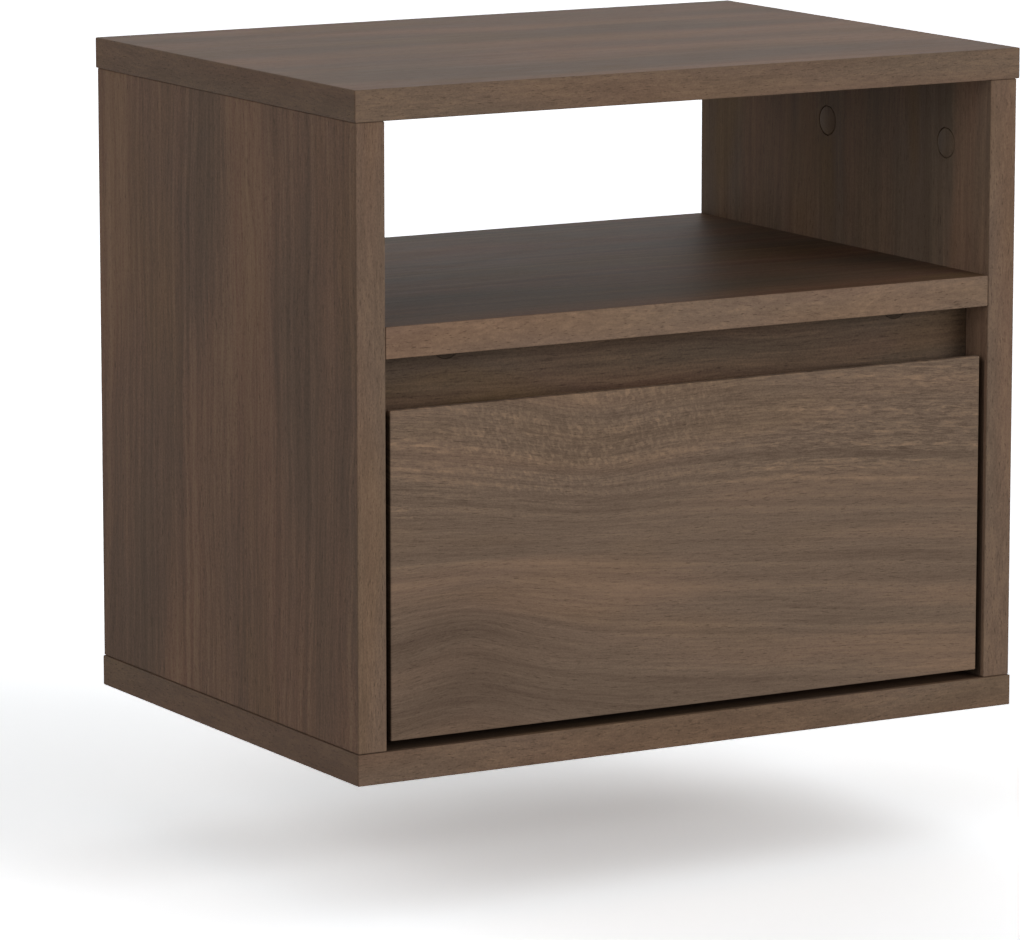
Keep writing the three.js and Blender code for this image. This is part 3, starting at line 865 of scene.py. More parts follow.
def carve(made: bpy.types.Object, *cutters: bpy.types.Object) -> None:
    """Cuts objects out of another one and removes them.

    Args:
        made: The object to cut.
        *cutters: What is cut out of it.
    """
    for cutter in cutters:
        cut = made.modifiers.new("cut", "BOOLEAN")
        cut.object = cutter
        cut.operation = "DIFFERENCE"
        cut.solver = "EXACT"
    bpy.context.view_layer.update()
    whole = made.evaluated_get(bpy.context.evaluated_depsgraph_get())
    made.data = bpy.data.meshes.new_from_object(whole)
    made.modifiers.clear()
    for cutter in cutters:
        bpy.data.objects.remove(cutter)


def hand_over(made: bpy.types.Object, node: str, material: bpy.types.Material) -> None:
    """Dresses a new piece, puts it in a node's stead and lets it ride with the node's body.

    Args:
        made: The new piece.
        node: The node that it stands for.
        material: The piece's material.
    """
    made.data.materials.clear()
    made.data.materials.append(material)
    made.data.polygons.foreach_set("use_smooth", [True] * len(made.data.polygons))
    made.data.set_sharp_from_angle(angle=SHARP)
    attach(made, frame["nodes"][node]["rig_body"])
    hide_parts(node)
    log.info("%s made for %s", made.name, node)


def dress_node(node: str, material: bpy.types.Material) -> None:
    """Gives a node of the frame its material.

    Args:
        node: The node.
        material: Its material.
    """
    mesh = frame["nodes"][node].data
    mesh.materials.clear()
    mesh.materials.append(material)
    log.info("%s dressed", node)


@dataclass(frozen=True)
class Carcass:
    """The walnut boards of the cabinet and the hardboard behind the drawer."""

    boards: tuple[tuple[str, Grain, Log], ...] = (
        ("top_panel", Grain.ACROSS, Log(
            seed=1.0, red=0.5, variety=0.6, contrast=0.35, clouds=2.0, shade=1.02, band_shade=1.12,
            end_shade=0.80)),
        ("bottom_panel", Grain.ACROSS, Log(seed=2.0, red=0.4, variety=0.7, band_shade=1.08, in_shaded_bay=True)),
        ("left_side_panel", Grain.UPRIGHT, LEFT_VENEER),
        ("right_side_panel", Grain.UPRIGHT, RIGHT_VENEER),
        ("shelf", Grain.ACROSS, Log(seed=5.0, red=0.5, figure=0.25, shade=0.90, band_shade=1.34)),
        ("front_rail", Grain.ACROSS, RAIL_VENEER),
        ("wall_rail", Grain.ACROSS, Log(seed=7.0, banded=False)),
    )

    def build(self) -> None:
        """Dresses the boards."""
        for node, grain, log_place in self.boards:
            dress_node(node, WALNUT.dress(f"walnut_{node}", grain, log_place, node))
        dress_node("back_board", BACK_BOARD.dress("back_hardboard"))


@dataclass(frozen=True)
class CoverCaps:
    """Round covers over the upper cams, and the half-round ones in the rail. Millimetres."""

    radius: float = 9.0
    gap: float = 0.45
    thickness: float = 1.2
    easing: float = 0.25
    corners: int = 40
    easing_share: float = 0.3
    # Painted shade: the half caps, which sit under the shelf's edge, are darkened to this share of the rail's
    # tone.
    half_cap_painted_shade: float = 0.45

    def profile(self) -> Profile:
        """Gives the rim of a cap, with a dark gap left round it.

        Returns:
            Radii and places along, from the face to the back.
        """
        rim = self.radius - self.gap
        first = self.easing_share * self.easing
        return [
            (AXIS, 0.0),
            (rim - self.easing, 0.0),
            (rim - first, first),
            (rim, self.easing),
            (rim, self.thickness),
            (AXIS, self.thickness),
        ]

    def build_cap(self, hand: str, end: str) -> None:
        """Makes the cap over one cam.

        Args:
            hand: left or right.
            end: front or back.
        """
        node = f"cover_top_{hand}_{end}"
        low, high = box_of(node)
        side = math.copysign(1.0, low.x)
        place = (low + high) / 2
        place.x = side * min(abs(low.x), abs(high.x))
        cap = new_object(f"cap_{hand}_{end}", turned(self.profile(), 64), place, Vector((side, 0.0, 0.0)))
        veneer = RIGHT_VENEER if side > 0 else LEFT_VENEER
        foil = COVER_FOIL.dress(f"foil_{hand}_{end}", Grain.UPRIGHT, veneer)
        hand_over(cap, node, foil)

    def crescent(self, centre: Vector, radius: float, chord: float) -> list[Vector]:
        """Gives the outline of a disc below a level chord, in the plane of the rail's face.

        Args:
            centre: The middle of the disc.
            radius: Its radius.
            chord: The height of the chord.

        Returns:
            The points from one end of the chord round to the other.
        """
        rise = math.asin((chord - centre.z) / radius)
        start, end = rise, -math.pi - rise
        turns = [start + (end - start) * index / self.corners for index in range(self.corners + 1)]
        return [centre + Vector((math.cos(turn), 0.0, math.sin(turn))) * radius for turn in turns]

    def build_crescent(self, hand: str) -> None:
        """Makes the cover that hangs below the shelf in the rail's face.

        Args:
            hand: left or right.
        """
        node = f"rail_cover_{hand}"
        low, high = box_of(node)
        centre = Vector(((low.x + high.x) / 2, 0.0, low.z + self.radius * MM))
        face = [(self.radius - self.easing, 0.0), (self.radius, self.easing), (self.radius, self.thickness)]
        rings = []
        for radius, depth in face:
            ring = self.crescent(centre, radius * MM, high.z)
            rings.append([point + Vector((0.0, low.y + depth * MM, 0.0)) for point in ring])
        cover = new_object(f"half_cap_{hand}", ring_shape(rings))
        # The darker veneer of the half caps is painted shade from the shelf's edge above them.
        veneer = replace(RAIL_VENEER, shade=self.half_cap_painted_shade)
        foil = COVER_FOIL.dress(f"foil_rail_{hand}", Grain.ACROSS, veneer)
        hand_over(cover, node, foil)

    def build(self) -> None:
        """Makes all covers."""
        for hand in HANDS:
            for end in ENDS:
                self.build_cap(hand, end)
            self.build_crescent(hand)


@dataclass(frozen=True)
class CamFitting:
    """A cam in the side panel with the bolt that it draws in. Millimetres."""

    radius: float = 7.2
    slot_length: float = 10.0
    slot_width: float = 2.0
    slot_depth: float = 1.6
    pocket_radius: float = 3.2
    pocket_start: float = -1.8
    head_half: float = 1.5
    head_radius: float = 2.9
    head_tip: float = 2.0
    neck: float = 1.8
    neck_end: float = 7.5
    shank: float = 3.2
    core: float = 2.0
    crest: float = 2.6
    thread_length: float = 11.0
    pitch: float = 1.6
    face_easing: float = 0.5
    back_easing: float = 0.4
    overrun: float = 1.0
    head_rim: float = 0.3
    shank_end: float = 0.8
    core_start: float = 0.1
    runout: float = 0.5

    def build_cam(self, name: str, material: bpy.types.Material) -> None:
        """Makes the cam, with a cross slot in its face and a pocket for the head of the bolt.

        Args:
            name: The level, hand and end of the fitting.
            material: The metal.
        """
        node = f"cam_{name}"
        low, high = box_of(node)
        side = math.copysign(1.0, low.x)
        inward = Vector((side, 0.0, 0.0))
        centre = (low + high) / 2
        near, far = sorted((abs(low.x), abs(high.x)))
        length = (far - near) / MM
        face = Vector((side * near, centre.y, centre.z))
        rim = [
            (AXIS, 0.0), (self.radius - self.face_easing, 0.0), (self.radius, self.face_easing),
            (self.radius, length - self.back_easing), (self.radius - self.back_easing, length),
            (AXIS, length),
        ]
        cam = new_object(f"cast_{node}", turned(rim), face, inward)
        half, reach = self.slot_width / 2, self.slot_length / 2
        slots = []
        for a, b in ((half, reach), (reach, half)):
            bar = block(Vector((-a, -b, -self.overrun)) * MM, Vector((a, b, self.slot_depth)) * MM)
            slots.append(new_object("slot", bar, face, inward))
        toward = Vector((0.0, 0.0, 1.0 if "top" in name else -1.0))
        bolt_line = Vector((self.bolt_plane(side), centre.y, centre.z))
        mouth = self.radius + 2 * self.overrun
        bore = turned([(self.pocket_radius, self.pocket_start), (self.pocket_radius, mouth)], 32)
        carve(cam, *slots, new_object("pocket", bore, bolt_line, toward))
        hand_over(cam, node, material)

    def bolt_plane(self, side: float) -> float:
        """Gives the plane of the bolts, in the middle of the side panel."""
        return middle("right_side_panel" if side > 0 else "left_side_panel").x

    def build_bolt(self, name: str, material: bpy.types.Material) -> None:
        """Makes the bolt from its head in the cam to the end of its thread.

        Args:
            name: The level, hand and end of the fitting.
            material: The metal.
        """
        node = f"bolt_{name}"
        low, high = box_of(node)
        upward = "top" in name
        length = (high.z - low.z) / MM - self.head_half
        start = low.z + self.head_half * MM if upward else high.z - self.head_half * MM
        place = Vector(((low.x + high.x) / 2, (low.y + high.y) / 2, start))
        drop = length - self.thread_length
        thread = Thread(drop, length - self.runout, self.core, self.crest, self.pitch)
        shape = thread.shape([
            (AXIS, -self.head_half), (self.head_tip, -self.head_half), (self.head_radius, -self.head_rim),
            (self.head_radius, self.head_rim), (self.head_tip, self.head_half), (self.neck, self.head_half),
            (self.neck, self.neck_end), (self.shank, self.neck_end + self.neck),
            (self.shank, drop - self.shank_end), (self.core, drop - self.core_start),
        ], [(AXIS, length)])
        bolt = new_object(f"threaded_{node}", shape, place, Vector((0.0, 0.0, 1.0 if upward else -1.0)))
        hand_over(bolt, node, material)

    def build(self) -> None:
        """Makes the eight fittings."""
        cast, zinc = CAST_ZINC.dress("cast_zinc_cam"), SCREW_ZINC.dress("zinc_bolt")
        for parts in product(("top", "bottom"), HANDS, ENDS):
            self.build_cam("_".join(parts), cast)
            self.build_bolt("_".join(parts), zinc)


@dataclass(frozen=True)
class ShelfDowels:
    """Fluted beech dowels between the sides and the shelf. Millimetres."""

    radius: float = 4.0
    flute: float = 0.3
    flutes: int = 16
    easing: float = 1.0

    def ring(self, along: float, radius: float, depth: float) -> list[Vector]:
        """Gives the fluted outline at one place along the dowel.

        Args:
            along: The place.
            radius: The radius between the flutes.
            depth: How deep the flutes are.

        Returns:
            The points, in metres.
        """
        points = []
        for index in range(self.flutes * 4):
            turn = math.tau * index / (self.flutes * 4)
            reach = (radius - depth * (0.5 - 0.5 * math.cos(turn * self.flutes))) * MM
            points.append(Vector((reach * math.cos(turn), reach * math.sin(turn), along * MM)))
        return points

    def build(self) -> None:
        """Makes the four dowels."""
        beech = DOWEL.dress("beech_dowel")
        for hand, end in product(HANDS, ENDS):
            node = f"shelf_dowel_{hand}_{end}"
            low, high = box_of(node)
            length = (high.x - low.x) / MM
            start = Vector((low.x, (low.y + high.y) / 2, (low.z + high.z) / 2))
            shape = ring_shape([
                self.ring(0.0, self.radius - self.easing, 0.0),
                self.ring(self.easing, self.radius, self.flute),
                self.ring(length - self.easing, self.radius, self.flute),
                self.ring(length, self.radius - self.easing, 0.0),
            ])
            dowel = new_object(f"fluted_{node}", shape, start, Vector((1.0, 0.0, 0.0)))
            hand_over(dowel, node, beech)


@dataclass(frozen=True)
class CountersunkScrew:
    """A countersunk screw with a cross recess. Millimetres."""

    head_radius: float = 3.5
    head_height: float = 2.2
    core: float = 1.15
    crest: float = 1.75
    pitch: float = 1.7
    point: float = 3.0
    recess_reach: float = 1.8
    recess_half: float = 0.42
    recess_depth: float = 1.5
    recess_mouth: float = 0.1
    recess_tip: float = 0.35
    overrun: float = 1.0
    rim: float = 0.15
    rim_end: float = 0.35
    neck_step: float = 0.1
    neck_length: float = 0.5
    thread_start: float = 0.6
    point_share: float = 0.4
    point_core: float = 0.55
    tip: float = 0.1

    def build(self, node: str, direction: Vector, material: bpy.types.Material) -> None:
        """Makes the screw of one node.

        Args:
            node: The node that it stands for.
            direction: From the head to the point.
            material: The plating.
        """
        low, high = box_of(node)
        length = abs((high - low).dot(direction)) / MM
        head = (low + high) / 2 - direction * length / 2 * MM
        start = self.head_height + self.thread_start
        thread = Thread(start, length - self.point, self.core, self.crest, self.pitch)
        shape = thread.shape([
            (AXIS, 0.0), (self.head_radius - self.rim, 0.0), (self.head_radius, self.rim),
            (self.head_radius, self.rim_end), (self.crest - self.neck_step, self.head_height),
            (self.core, self.head_height + self.neck_length),
        ], [(self.core * self.point_core, length - self.point * self.point_share), (self.tip, length)])
        screw = new_object(f"threaded_{node}", shape, head, direction)
        tip = self.recess_reach * self.recess_tip
        cutters = []
        for a, b in ((self.recess_half, self.recess_reach), (self.recess_reach, self.recess_half)):
            levels = ((a, b, -self.overrun), (a, b, self.recess_mouth),
                      (min(a, tip), min(b, tip), self.recess_depth))
            rings = [
                [Vector((x, y, z)) * MM for x, y in ((-p, -q), (p, -q), (p, q), (-p, q))]
                for p, q, z in levels
            ]
            cutters.append(new_object("recess", ring_shape(rings), head, direction))
        carve(screw, *cutters)
        hand_over(screw, node, material)


@dataclass(frozen=True)
class DrawerBox:
    """The walnut front with its plywood box."""

    front: Log = Log(
        seed=8.0, pith=(0.2, 0.9), taper=0.09, wander=0.003, figure=0.75, calm=(-0.058, -0.036), red=0.05,
        variety=0.25, clouds=1.6, shade=1.23, in_shaded_bay=True, swells=(
            Swell(centre=-0.068, depth=0.013, width=0.055, free=-0.075, full=-0.02),
            Swell(centre=-0.147, depth=-0.018, width=0.050, free=-0.07, full=-0.11, shade=-0.34),
        ))
    sheets: tuple[tuple[str, Through], ...] = (
        ("drawer_inner_front", Through.Y),
        ("drawer_left_side", Through.X),
        ("drawer_right_side", Through.X),
        ("drawer_back", Through.Y),
        ("drawer_floor", Through.Z),
    )

    def build(self) -> None:
        """Dresses the boards and makes the two screws between the fronts."""
        dress_node("drawer_front", WALNUT.dress("walnut_drawer_front", Grain.ACROSS, self.front))
        plywood = PlywoodFinish()
        for node, through in self.sheets:
            dress_node(node, plywood.dress(f"plywood_{node}", through, node))
        zinc = SCREW_ZINC.dress("zinc_front_screw")
        for hand in HANDS:
            CountersunkScrew().build(f"front_screw_{hand}", Vector((0.0, -1.0, 0.0)), zinc)


def on_circle(centre: Vector, radius: float, angle: float) -> Vector:
    """Gives the point of a circle at an angle in degrees."""
    turn = math.radians(angle)
    return centre + Vector((math.cos(turn), math.sin(turn))) * radius


def arc(centre: Vector, radius: float, start: float, end: float, steps: int = 12) -> list[Vector]:
    """Gives points along an arc between two angles in degrees."""
    return [on_circle(centre, radius, start + (end - start) * step / steps) for step in range(steps + 1)]


def sheet_outline(path: list[Vector], sheet: float) -> list[Vector]:
    """Gives the outline of a bent sheet.

    Args:
        path: The line through the middle of the sheet.
        sheet: The sheet's thickness.

    Returns:
        The points of one side, and then those of the other back to the start.
    """
    normals = [Vector((a.y - b.y, b.x - a.x)).normalized() for a, b in zip(path, path[1:])]
    near, far = [], []
    for index, point in enumerate(path):
        before, after = normals[max(index - 1, 0)], normals[min(index, len(normals) - 1)]
        mitre = (before + after) / (1.0 + before.dot(after)) * sheet / 2
        near.append(point + mitre)
        far.append(point - mitre)
    return near + far[::-1]


@dataclass(frozen=True)
class SlideSection:
    """The section of a slide: offset from the side panel and height over the middle. Millimetres."""

    thickness: float = 12.7
    gap: float = 0.2
    outer_sheet: float = 1.2
    inner_sheet: float = 1.0
    cage_sheet: float = 0.5
    web_gap: float = 0.65
    ball_gap: float = 0.25
    outer_ball: float = 1.75
    inner_ball: float = 1.5
    row_turn: float = -35.0
    outer_race_end: float = 15.0
    middle_race_end: float = 25.0
    inner_race_end: float = -150.0
    corner: float = 1.5
    cage_lip: float = 0.25
    cage_bend: float = 1.0
    row: tuple[float, float] = (4.5, 18.6)
    outer_row: Vector = field(init=False)
    outer_web: float = field(init=False)
    outer_cage_web: float = field(init=False)
    middle_web: float = field(init=False)
    inner_cage_web: float = field(init=False)
    inner_web: float = field(init=False)
    outer_race: float = field(init=False)
    middle_race: float = field(init=False)
    inner_race: float = field(init=False)
    inner_row: Vector = field(init=False)

    def put(self, name: str, value: float | Vector) -> None:
        """Keeps a value that is worked out from the others."""
        object.__setattr__(self, name, value)

    def __post_init__(self) -> None:
        """Works out the webs, rows and races, in the order in which they follow from each other."""
        self.put("outer_row", Vector(self.row))
        self.put("outer_web", self.gap + self.outer_sheet / 2)
        self.put("outer_cage_web", self.outer_web + self.outer_sheet / 2 + self.web_gap + self.cage_sheet / 2)
        self.put("middle_web",
                 self.outer_cage_web + self.cage_sheet / 2 + self.web_gap + self.inner_sheet / 2)
        self.put("inner_cage_web",
                 self.middle_web + self.inner_sheet / 2 + self.web_gap + self.cage_sheet / 2)
        self.put("inner_web", self.thickness - self.gap - self.inner_sheet / 2)
        self.put("outer_race", self.outer_ball + self.ball_gap + self.outer_sheet / 2)
        self.put("middle_race", self.outer_ball + self.ball_gap + self.inner_sheet / 2)
        self.put("inner_race", self.inner_ball + self.ball_gap + self.inner_sheet / 2)
        self.put("inner_row", on_circle(self.outer_row, self.middle_race + self.inner_race, self.row_turn))

    def cabinet_path(self) -> list[Vector]:
        """Gives the upper half of the cabinet member.

        Returns:
            The line through the middle of its sheet.
        """
        corner = Vector((self.outer_web + self.outer_race, self.outer_row.y))
        return [Vector((self.outer_web, 0.0)), *arc(corner, self.outer_race, 180, 90),
                *arc(self.outer_row, self.outer_race, 90, self.outer_race_end)[1:]]

    def middle_path(self) -> list[Vector]:
        """Gives the upper half of the middle member.

        Returns:
            The line through the middle of its sheet.
        """
        radius = self.outer_row.x - self.middle_web
        corner = self.outer_row - Vector((0.0, self.middle_race + radius))
        return [Vector((self.middle_web, 0.0)), *arc(corner, radius, 180, 90),
                *arc(self.outer_row, self.middle_race, -90, self.row_turn)[1:],
                *arc(self.inner_row, self.inner_race, 180 + self.row_turn, self.middle_race_end)[1:]]

    def drawer_path(self) -> list[Vector]:
        """Gives the upper half of the drawer member.

        Returns:
            The line through the middle of its sheet.
        """
        edge = Vector((self.inner_web, self.inner_row.y - self.inner_race))
        corner = edge - Vector((self.corner, self.corner))
        return [Vector((self.inner_web, 0.0)), *arc(corner, self.corner, 0, 90, 6),
                *arc(self.inner_row, self.inner_race, -90, self.inner_race_end)]

    def outer_cage_path(self) -> list[Vector]:
        """Gives the upper half of the outer ball cage.

        Returns:
            The line through the middle of its sheet.
        """
        reach = self.outer_row.x + self.outer_ball + self.cage_lip
        bend = Vector((self.outer_cage_web + self.cage_bend, self.outer_row.y - self.cage_bend))
        return [Vector((self.outer_cage_web, 0.0)), *arc(bend, self.cage_bend, 180, 90, 5),
                Vector((reach, self.outer_row.y))]

    def inner_cage_path(self) -> list[Vector]:
        """Gives the upper half of the inner ball cage, which passes halfway between the two races.

        Returns:
            The line through the middle of its sheet.
        """
        edge = on_circle(self.inner_row, self.inner_race + self.inner_sheet / 2, self.inner_race_end)
        reach = (self.middle_race + self.inner_sheet / 2 + (edge - self.outer_row).length) / 2
        passing = self.outer_row + (edge - self.outer_row).normalized() * reach
        return [Vector((self.inner_cage_web, 0.0)),
                Vector((self.inner_cage_web, passing.y - (passing.x - self.inner_cage_web))), passing,
                Vector((self.inner_row.x - self.inner_ball, self.inner_row.y)),
                Vector((self.inner_row.x + self.inner_ball + self.cage_lip, self.inner_row.y))]


@dataclass(frozen=True)
class Slide:
    """One telescopic ball-bearing slide. Millimetres.

    The cuts are the offsets from the side panel between which the cutter of a hole runs.
    """

    hand: str
    section: SlideSection = SlideSection()
    window: tuple[float, float] = (24.0, 12.0)
    window_pitch: float = 70.0
    ball_pitch: float = 15.0
    balls_per_row: int = 6
    pocket_gap: float = 0.1
    spare_holes: tuple[float, ...] = (-72.0, -8.0, 56.0)
    spare_hole: tuple[float, float] = (9.0, 4.5)
    outer_cut: tuple[float, float] = (-1.0, 3.0)
    middle_cut: tuple[float, float] = (1.0, 6.0)
    inner_cut: tuple[float, float] = (10.5, 13.5)
    countersink: tuple[tuple[float, float], ...] = ((3.8, -3.0), (3.8, 0.0), (2.05, 2.2), (2.05, 5.0))

    @property
    def side(self) -> float:
        """Gives one on the right and minus one on the left."""
        return 1.0 if self.hand == "right" else -1.0

    def panel_face(self) -> float:
        """Gives the distance from the middle of the cabinet to the side panel's inner face, in metres."""
        low, high = box_of(f"{self.hand}_side_panel")
        return min(abs(low.x), abs(high.x))

    def at(self, offset: float, height: float, y: float) -> Vector:
        """Gives a point of the frame from an offset and a height of the section."""
        level = middle(f"{self.hand}_slide_cabinet_member").z
        return Vector((self.side * (self.panel_face() - offset * MM), y, level + height * MM))

    def bend(self, name: str, path: list[Vector], sheet: float, node: str) -> bpy.types.Object:
        """Makes a bent sheet as long as its node.

        Args:
            name: The object's name.
            path: The upper half of the line through the middle of the sheet.
            sheet: The sheet's thickness.
            node: The node that gives the length.

        Returns:
            The object.
        """
        low, high = box_of(node)
        whole = [Vector((point.x, -point.y)) for point in path[:0:-1]] + path
        outline = sheet_outline(whole, sheet)
        rings = [[self.at(point.x, point.y, y) for point in outline] for y in (low.y, high.y)]
        return new_object(name, ring_shape(rings))

    def slot_cutter(self, y: float, length: float, width: float, start: float,
                    end: float) -> bpy.types.Object:
        """Makes a cutter with round ends.

        Args:
            y: The middle of the slot in the frame, in metres.
            length: The slot's length.
            width: Its width.
            start: The offset from the side panel where the cutter starts.
            end: The offset where it ends.

        Returns:
            The cutter.
        """
        radius, reach = width / 2, (length - width) / 2
        outline = arc(Vector((reach, 0.0)), radius, -90, 90) + arc(Vector((-reach, 0.0)), radius, 90, 270)
        rings = [[self.at(offset, point.y, y + point.x * MM) for point in outline] for offset in (start, end)]
        return new_object("slot", ring_shape(rings))

    def screw_cutters(self, kind: str) -> list[bpy.types.Object]:
        """Makes the cutters for the countersunk holes of a member's two screws.

        Args:
            kind: slide for the screws into the side panel, drawer for those into the drawer.

        Returns:
            The cutters.
        """
        cutters = []
        outward = self.side if kind == "slide" else -self.side
        for end in ENDS:
            node = f"{self.hand}_{kind}_screw_{end}"
            low, high = box_of(node)
            face = (low + high) / 2 - Vector((outward * (high.x - low.x) / 2, 0.0, 0.0))
            shape = turned(list(self.countersink), 32)
            cutters.append(new_object("countersink", shape, face, Vector((outward, 0.0, 0.0))))
        return cutters

    def build_cage(self, which: str, path: list[Vector], row: Vector, radius: float,
                   steel: bpy.types.Material, bright: bpy.types.Material) -> None:
        """Makes one ball cage with pockets, and its balls.

        Args:
            which: outer or inner.
            path: The upper half of the cage's section.
            row: The upper row of balls in the section.
            radius: The radius of a ball.
            steel: The cage's material.
            bright: The balls' material.
        """
        node = f"{self.hand}_slide_{which}_cage"
        cage = self.bend(f"formed_{node}", path, self.section.cage_sheet, node)
        centre = middle(node).y
        places = [
            self.at(row.x, height, centre + (index - (self.balls_per_row - 1) / 2) * self.ball_pitch * MM)
            for height in (row.y, -row.y) for index in range(self.balls_per_row)
        ]
        carve(cage, self.balls("pockets", places, radius + self.pocket_gap, 20))
        hand_over(cage, node, steel)
        hand_over(self.balls(f"balls_{self.hand}_{which}", places, radius, 28), node, bright)

    def balls(self, name: str, places: list[Vector], radius: float, segments: int) -> bpy.types.Object:
        """Makes one object of several balls.

        Args:
            name: The object's name.
            places: The middles of the balls.
            radius: Their radius.
            segments: The points round a ball.

        Returns:
            The object.
        """
        shape = bmesh.new()
        for place in places:
            bmesh.ops.create_uvsphere(
                shape, u_segments=segments, v_segments=segments // 2, radius=radius * MM,
                matrix=Matrix.Translation(place))
        return new_object(name, shape)

    def build(self) -> None:
        """Makes the three members, the two cages, the balls and the screws."""
        section = self.section
        rolled = ROLLED_STEEL.dress(f"rolled_steel_{self.hand}")
        # The cabinet member's darker steel is painted shade for the gap beside the drawer front.
        shade_darkened_steel = GAP_SHADE_STEEL.dress(f"gap_shaded_steel_{self.hand}")
        dark = CAGE_STEEL.dress(f"cage_steel_{self.hand}")
        bright = BALL_STEEL.dress(f"ball_steel_{self.hand}")
        zinc = SCREW_ZINC.dress(f"zinc_screw_{self.hand}")
        name = f"{self.hand}_slide_cabinet_member"
        centre = middle(name).y

        outer = self.bend(f"formed_{name}", section.cabinet_path(), section.outer_sheet, name)
        spare = [
            self.slot_cutter(centre + y * MM, *self.spare_hole, *self.outer_cut) for y in self.spare_holes
        ]
        carve(outer, *self.screw_cutters("slide"), *spare)
        hand_over(outer, name, shade_darkened_steel)

        name = f"{self.hand}_slide_middle_member"
        member = self.bend(f"formed_{name}", section.middle_path(), section.inner_sheet, name)
        windows = [
            self.slot_cutter(centre + step * self.window_pitch * MM, *self.window, *self.middle_cut)
            for step in (-1, 0, 1)
        ]
        carve(member, *windows)
        hand_over(member, name, rolled)

        name = f"{self.hand}_slide_drawer_member"
        inner = self.bend(f"formed_{name}", section.drawer_path(), section.inner_sheet, name)
        spare = [
            self.slot_cutter(centre + y * MM, *self.spare_hole, *self.inner_cut) for y in self.spare_holes
        ]
        carve(inner, *self.screw_cutters("drawer"), *spare)
        hand_over(inner, name, rolled)

        for which, path, row, radius in (
            ("outer", section.outer_cage_path(), section.outer_row, section.outer_ball),
            ("inner", section.inner_cage_path(), section.inner_row, section.inner_ball),
        ):
            self.build_cage(which, path, row, radius, dark, bright)
        for end in ENDS:
            outward = Vector((self.side, 0.0, 0.0))
            CountersunkScrew().build(f"{self.hand}_slide_screw_{end}", outward, zinc)
            CountersunkScrew().build(f"{self.hand}_drawer_screw_{end}", -outward, zinc)


def seen_from(azimuth: float, elevation: float) -> Vector:
    """Gives the direction from the nightstand to a place round it.

    Args:
        azimuth: Degrees from the front toward the right.
        elevation: Degrees above the level.

    Returns:
        The direction.
    """
    side, rise = math.radians(azimuth), math.radians(elevation)
    flat = math.cos(rise)
    return Vector((math.sin(side) * flat, -math.cos(side) * flat, math.sin(rise)))


def add_aimed(data: bpy.types.Camera | bpy.types.Light, place: Vector, back: Vector) -> bpy.types.Object:
    """Adds a camera or lamp.

    Args:
        data: The camera or lamp, which gives the name.
        place: Where it stands.
        back: The direction opposite to the one that it points in.

    Returns:
        The object.
    """
    made = bpy.data.objects.new(data.name, data)
    made.location = place
    made.rotation_mode = "QUATERNION"
    made.rotation_quaternion = back.to_track_quat("Z", "Y")
    bpy.context.scene.collection.objects.link(made)
    return made


@dataclass(frozen=True)
class PhotoCamera:
    """The camera that took the photograph, found from the corners of the boards."""

    target: Scale = (-0.0298, -0.160, -0.0559)
    distance: float = 3.666
    azimuth: float = -30.0
    elevation: float = 10.0
    lens: float = 219.3
    farthest: float = 100.0

    def build(self) -> None:
        """Adds the camera and makes it the scene's own."""
        back = seen_from(self.azimuth, self.elevation)
        data = bpy.data.cameras.new("camera")
        data.lens = self.lens
        data.clip_end = self.farthest
        bpy.context.scene.camera = add_aimed(data, Vector(self.target) + back * self.distance, back)


@dataclass(frozen=True)
class Sun:
    """A broad lamp far away, by the direction that it shines from, in degrees."""

    name: str
    azimuth: float
    elevation: float
    strength: float
    spread: float

    def build(self) -> None:
        """Adds the lamp."""
        data = bpy.data.lights.new(self.name, "SUN")
        data.energy = self.strength
        data.angle = math.radians(self.spread)
        add_aimed(data, ORIGIN, seen_from(self.azimuth, self.elevation))


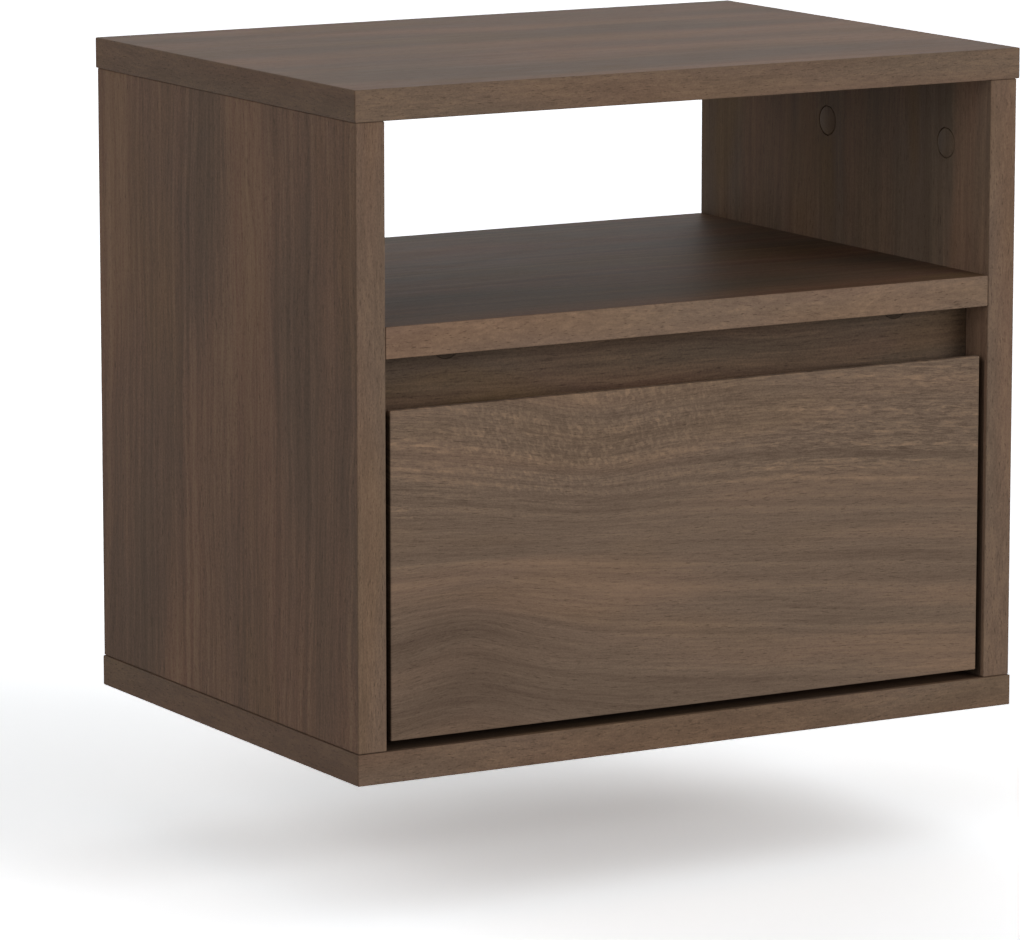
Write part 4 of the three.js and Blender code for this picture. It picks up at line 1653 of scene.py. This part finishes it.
@dataclass(frozen=True)
class Studio:
    """A pale floor under the nightstand, soft lamps and a white world."""

    floor_drop: float = 0.082
    floor_radius: float = 30.0
    floor_colour: float = 0.80
    floor_seen: float = 2.62
    floor_tint: Scale = (0.985, 1.0, 1.015)
    ambient: float = 0.12
    suns: tuple[Sun, ...] = (
        Sun("overhead_lamp", azimuth=25.0, elevation=75.0, strength=0.10, spread=50.0),
        Sun("front_lamp", azimuth=30.0, elevation=8.0, strength=2.17, spread=40.0),
        Sun("left_lamp", azimuth=-60.0, elevation=15.0, strength=0.80, spread=50.0),
        Sun("right_lamp", azimuth=60.0, elevation=35.0, strength=0.15, spread=50.0),
        Sun("window_lamp", azimuth=-150.0, elevation=20.0, strength=0.50, spread=40.0),
        Sun("back_lamp", azimuth=150.0, elevation=40.0, strength=0.30, spread=50.0),
    )

    def build(self) -> None:
        """Adds the floor, the lamps and the world."""
        bpy.context.scene.view_settings.view_transform = "Standard"
        self.build_floor()
        self.build_world()
        for sun in self.suns:
            sun.build()

    def background_share(self, bench: NodeBench) -> Socket:
        """Finds the rays that show the background: seen, mirrored or through glass.

        Args:
            bench: The shader to add to.

        Returns:
            One for those rays.
        """
        path = bench.add("ShaderNodeLightPath").outputs
        mirrored = bench.math("MAXIMUM", path["Is Glossy Ray"], path["Is Transmission Ray"])
        return bench.math("MAXIMUM", path["Is Camera Ray"], mirrored)

    def build_floor(self) -> None:
        """Adds the round floor, which shows white but keeps the shadow."""
        shape = bmesh.new()
        bmesh.ops.create_circle(shape, cap_ends=True, segments=64, radius=self.floor_radius)
        drop = Vector((0.0, 0.0, cad_box[0].z - self.floor_drop))
        floor = new_object("floor", shape, drop)
        paint = bpy.data.materials.new("floor_paint")
        bench = NodeBench(paint)
        seen = self.background_share(bench)
        plain, bright = (
            (*(level * tint for tint in self.floor_tint), 1.0)
            for level in (self.floor_colour, self.floor_seen)
        )
        matt = bench.add("ShaderNodeBsdfDiffuse", {"Color": bench.mix(seen, plain, bright)}).outputs[0]
        bench.add("ShaderNodeOutputMaterial", {"Surface": matt})
        floor.data.materials.append(paint)

    def build_world(self) -> None:
        """Makes the world white where it shows and softer where it only lights."""
        world = bpy.data.worlds.new("studio")
        bpy.context.scene.world = world
        bench = NodeBench(world)
        seen = self.background_share(bench)
        strength = bench.math("MULTIPLY_ADD", seen, 1.0 - self.ambient, self.ambient)
        shader = bench.add("ShaderNodeBackground", {"Color": (1.0, 1.0, 1.0, 1.0), "Strength": strength})
        bench.add("ShaderNodeOutputWorld", {"Surface": shader.outputs[0]})


def main() -> None:
    """Builds the studio and the pieces."""
    logging.basicConfig(level=logging.INFO, format="%(name)s: %(message)s")
    PhotoCamera().build()
    Studio().build()
    Carcass().build()
    CoverCaps().build()
    CamFitting().build()
    ShelfDowels().build()
    DrawerBox().build()
    for hand in HANDS:
        Slide(hand).build()


if __name__ == "__main__":
    main()
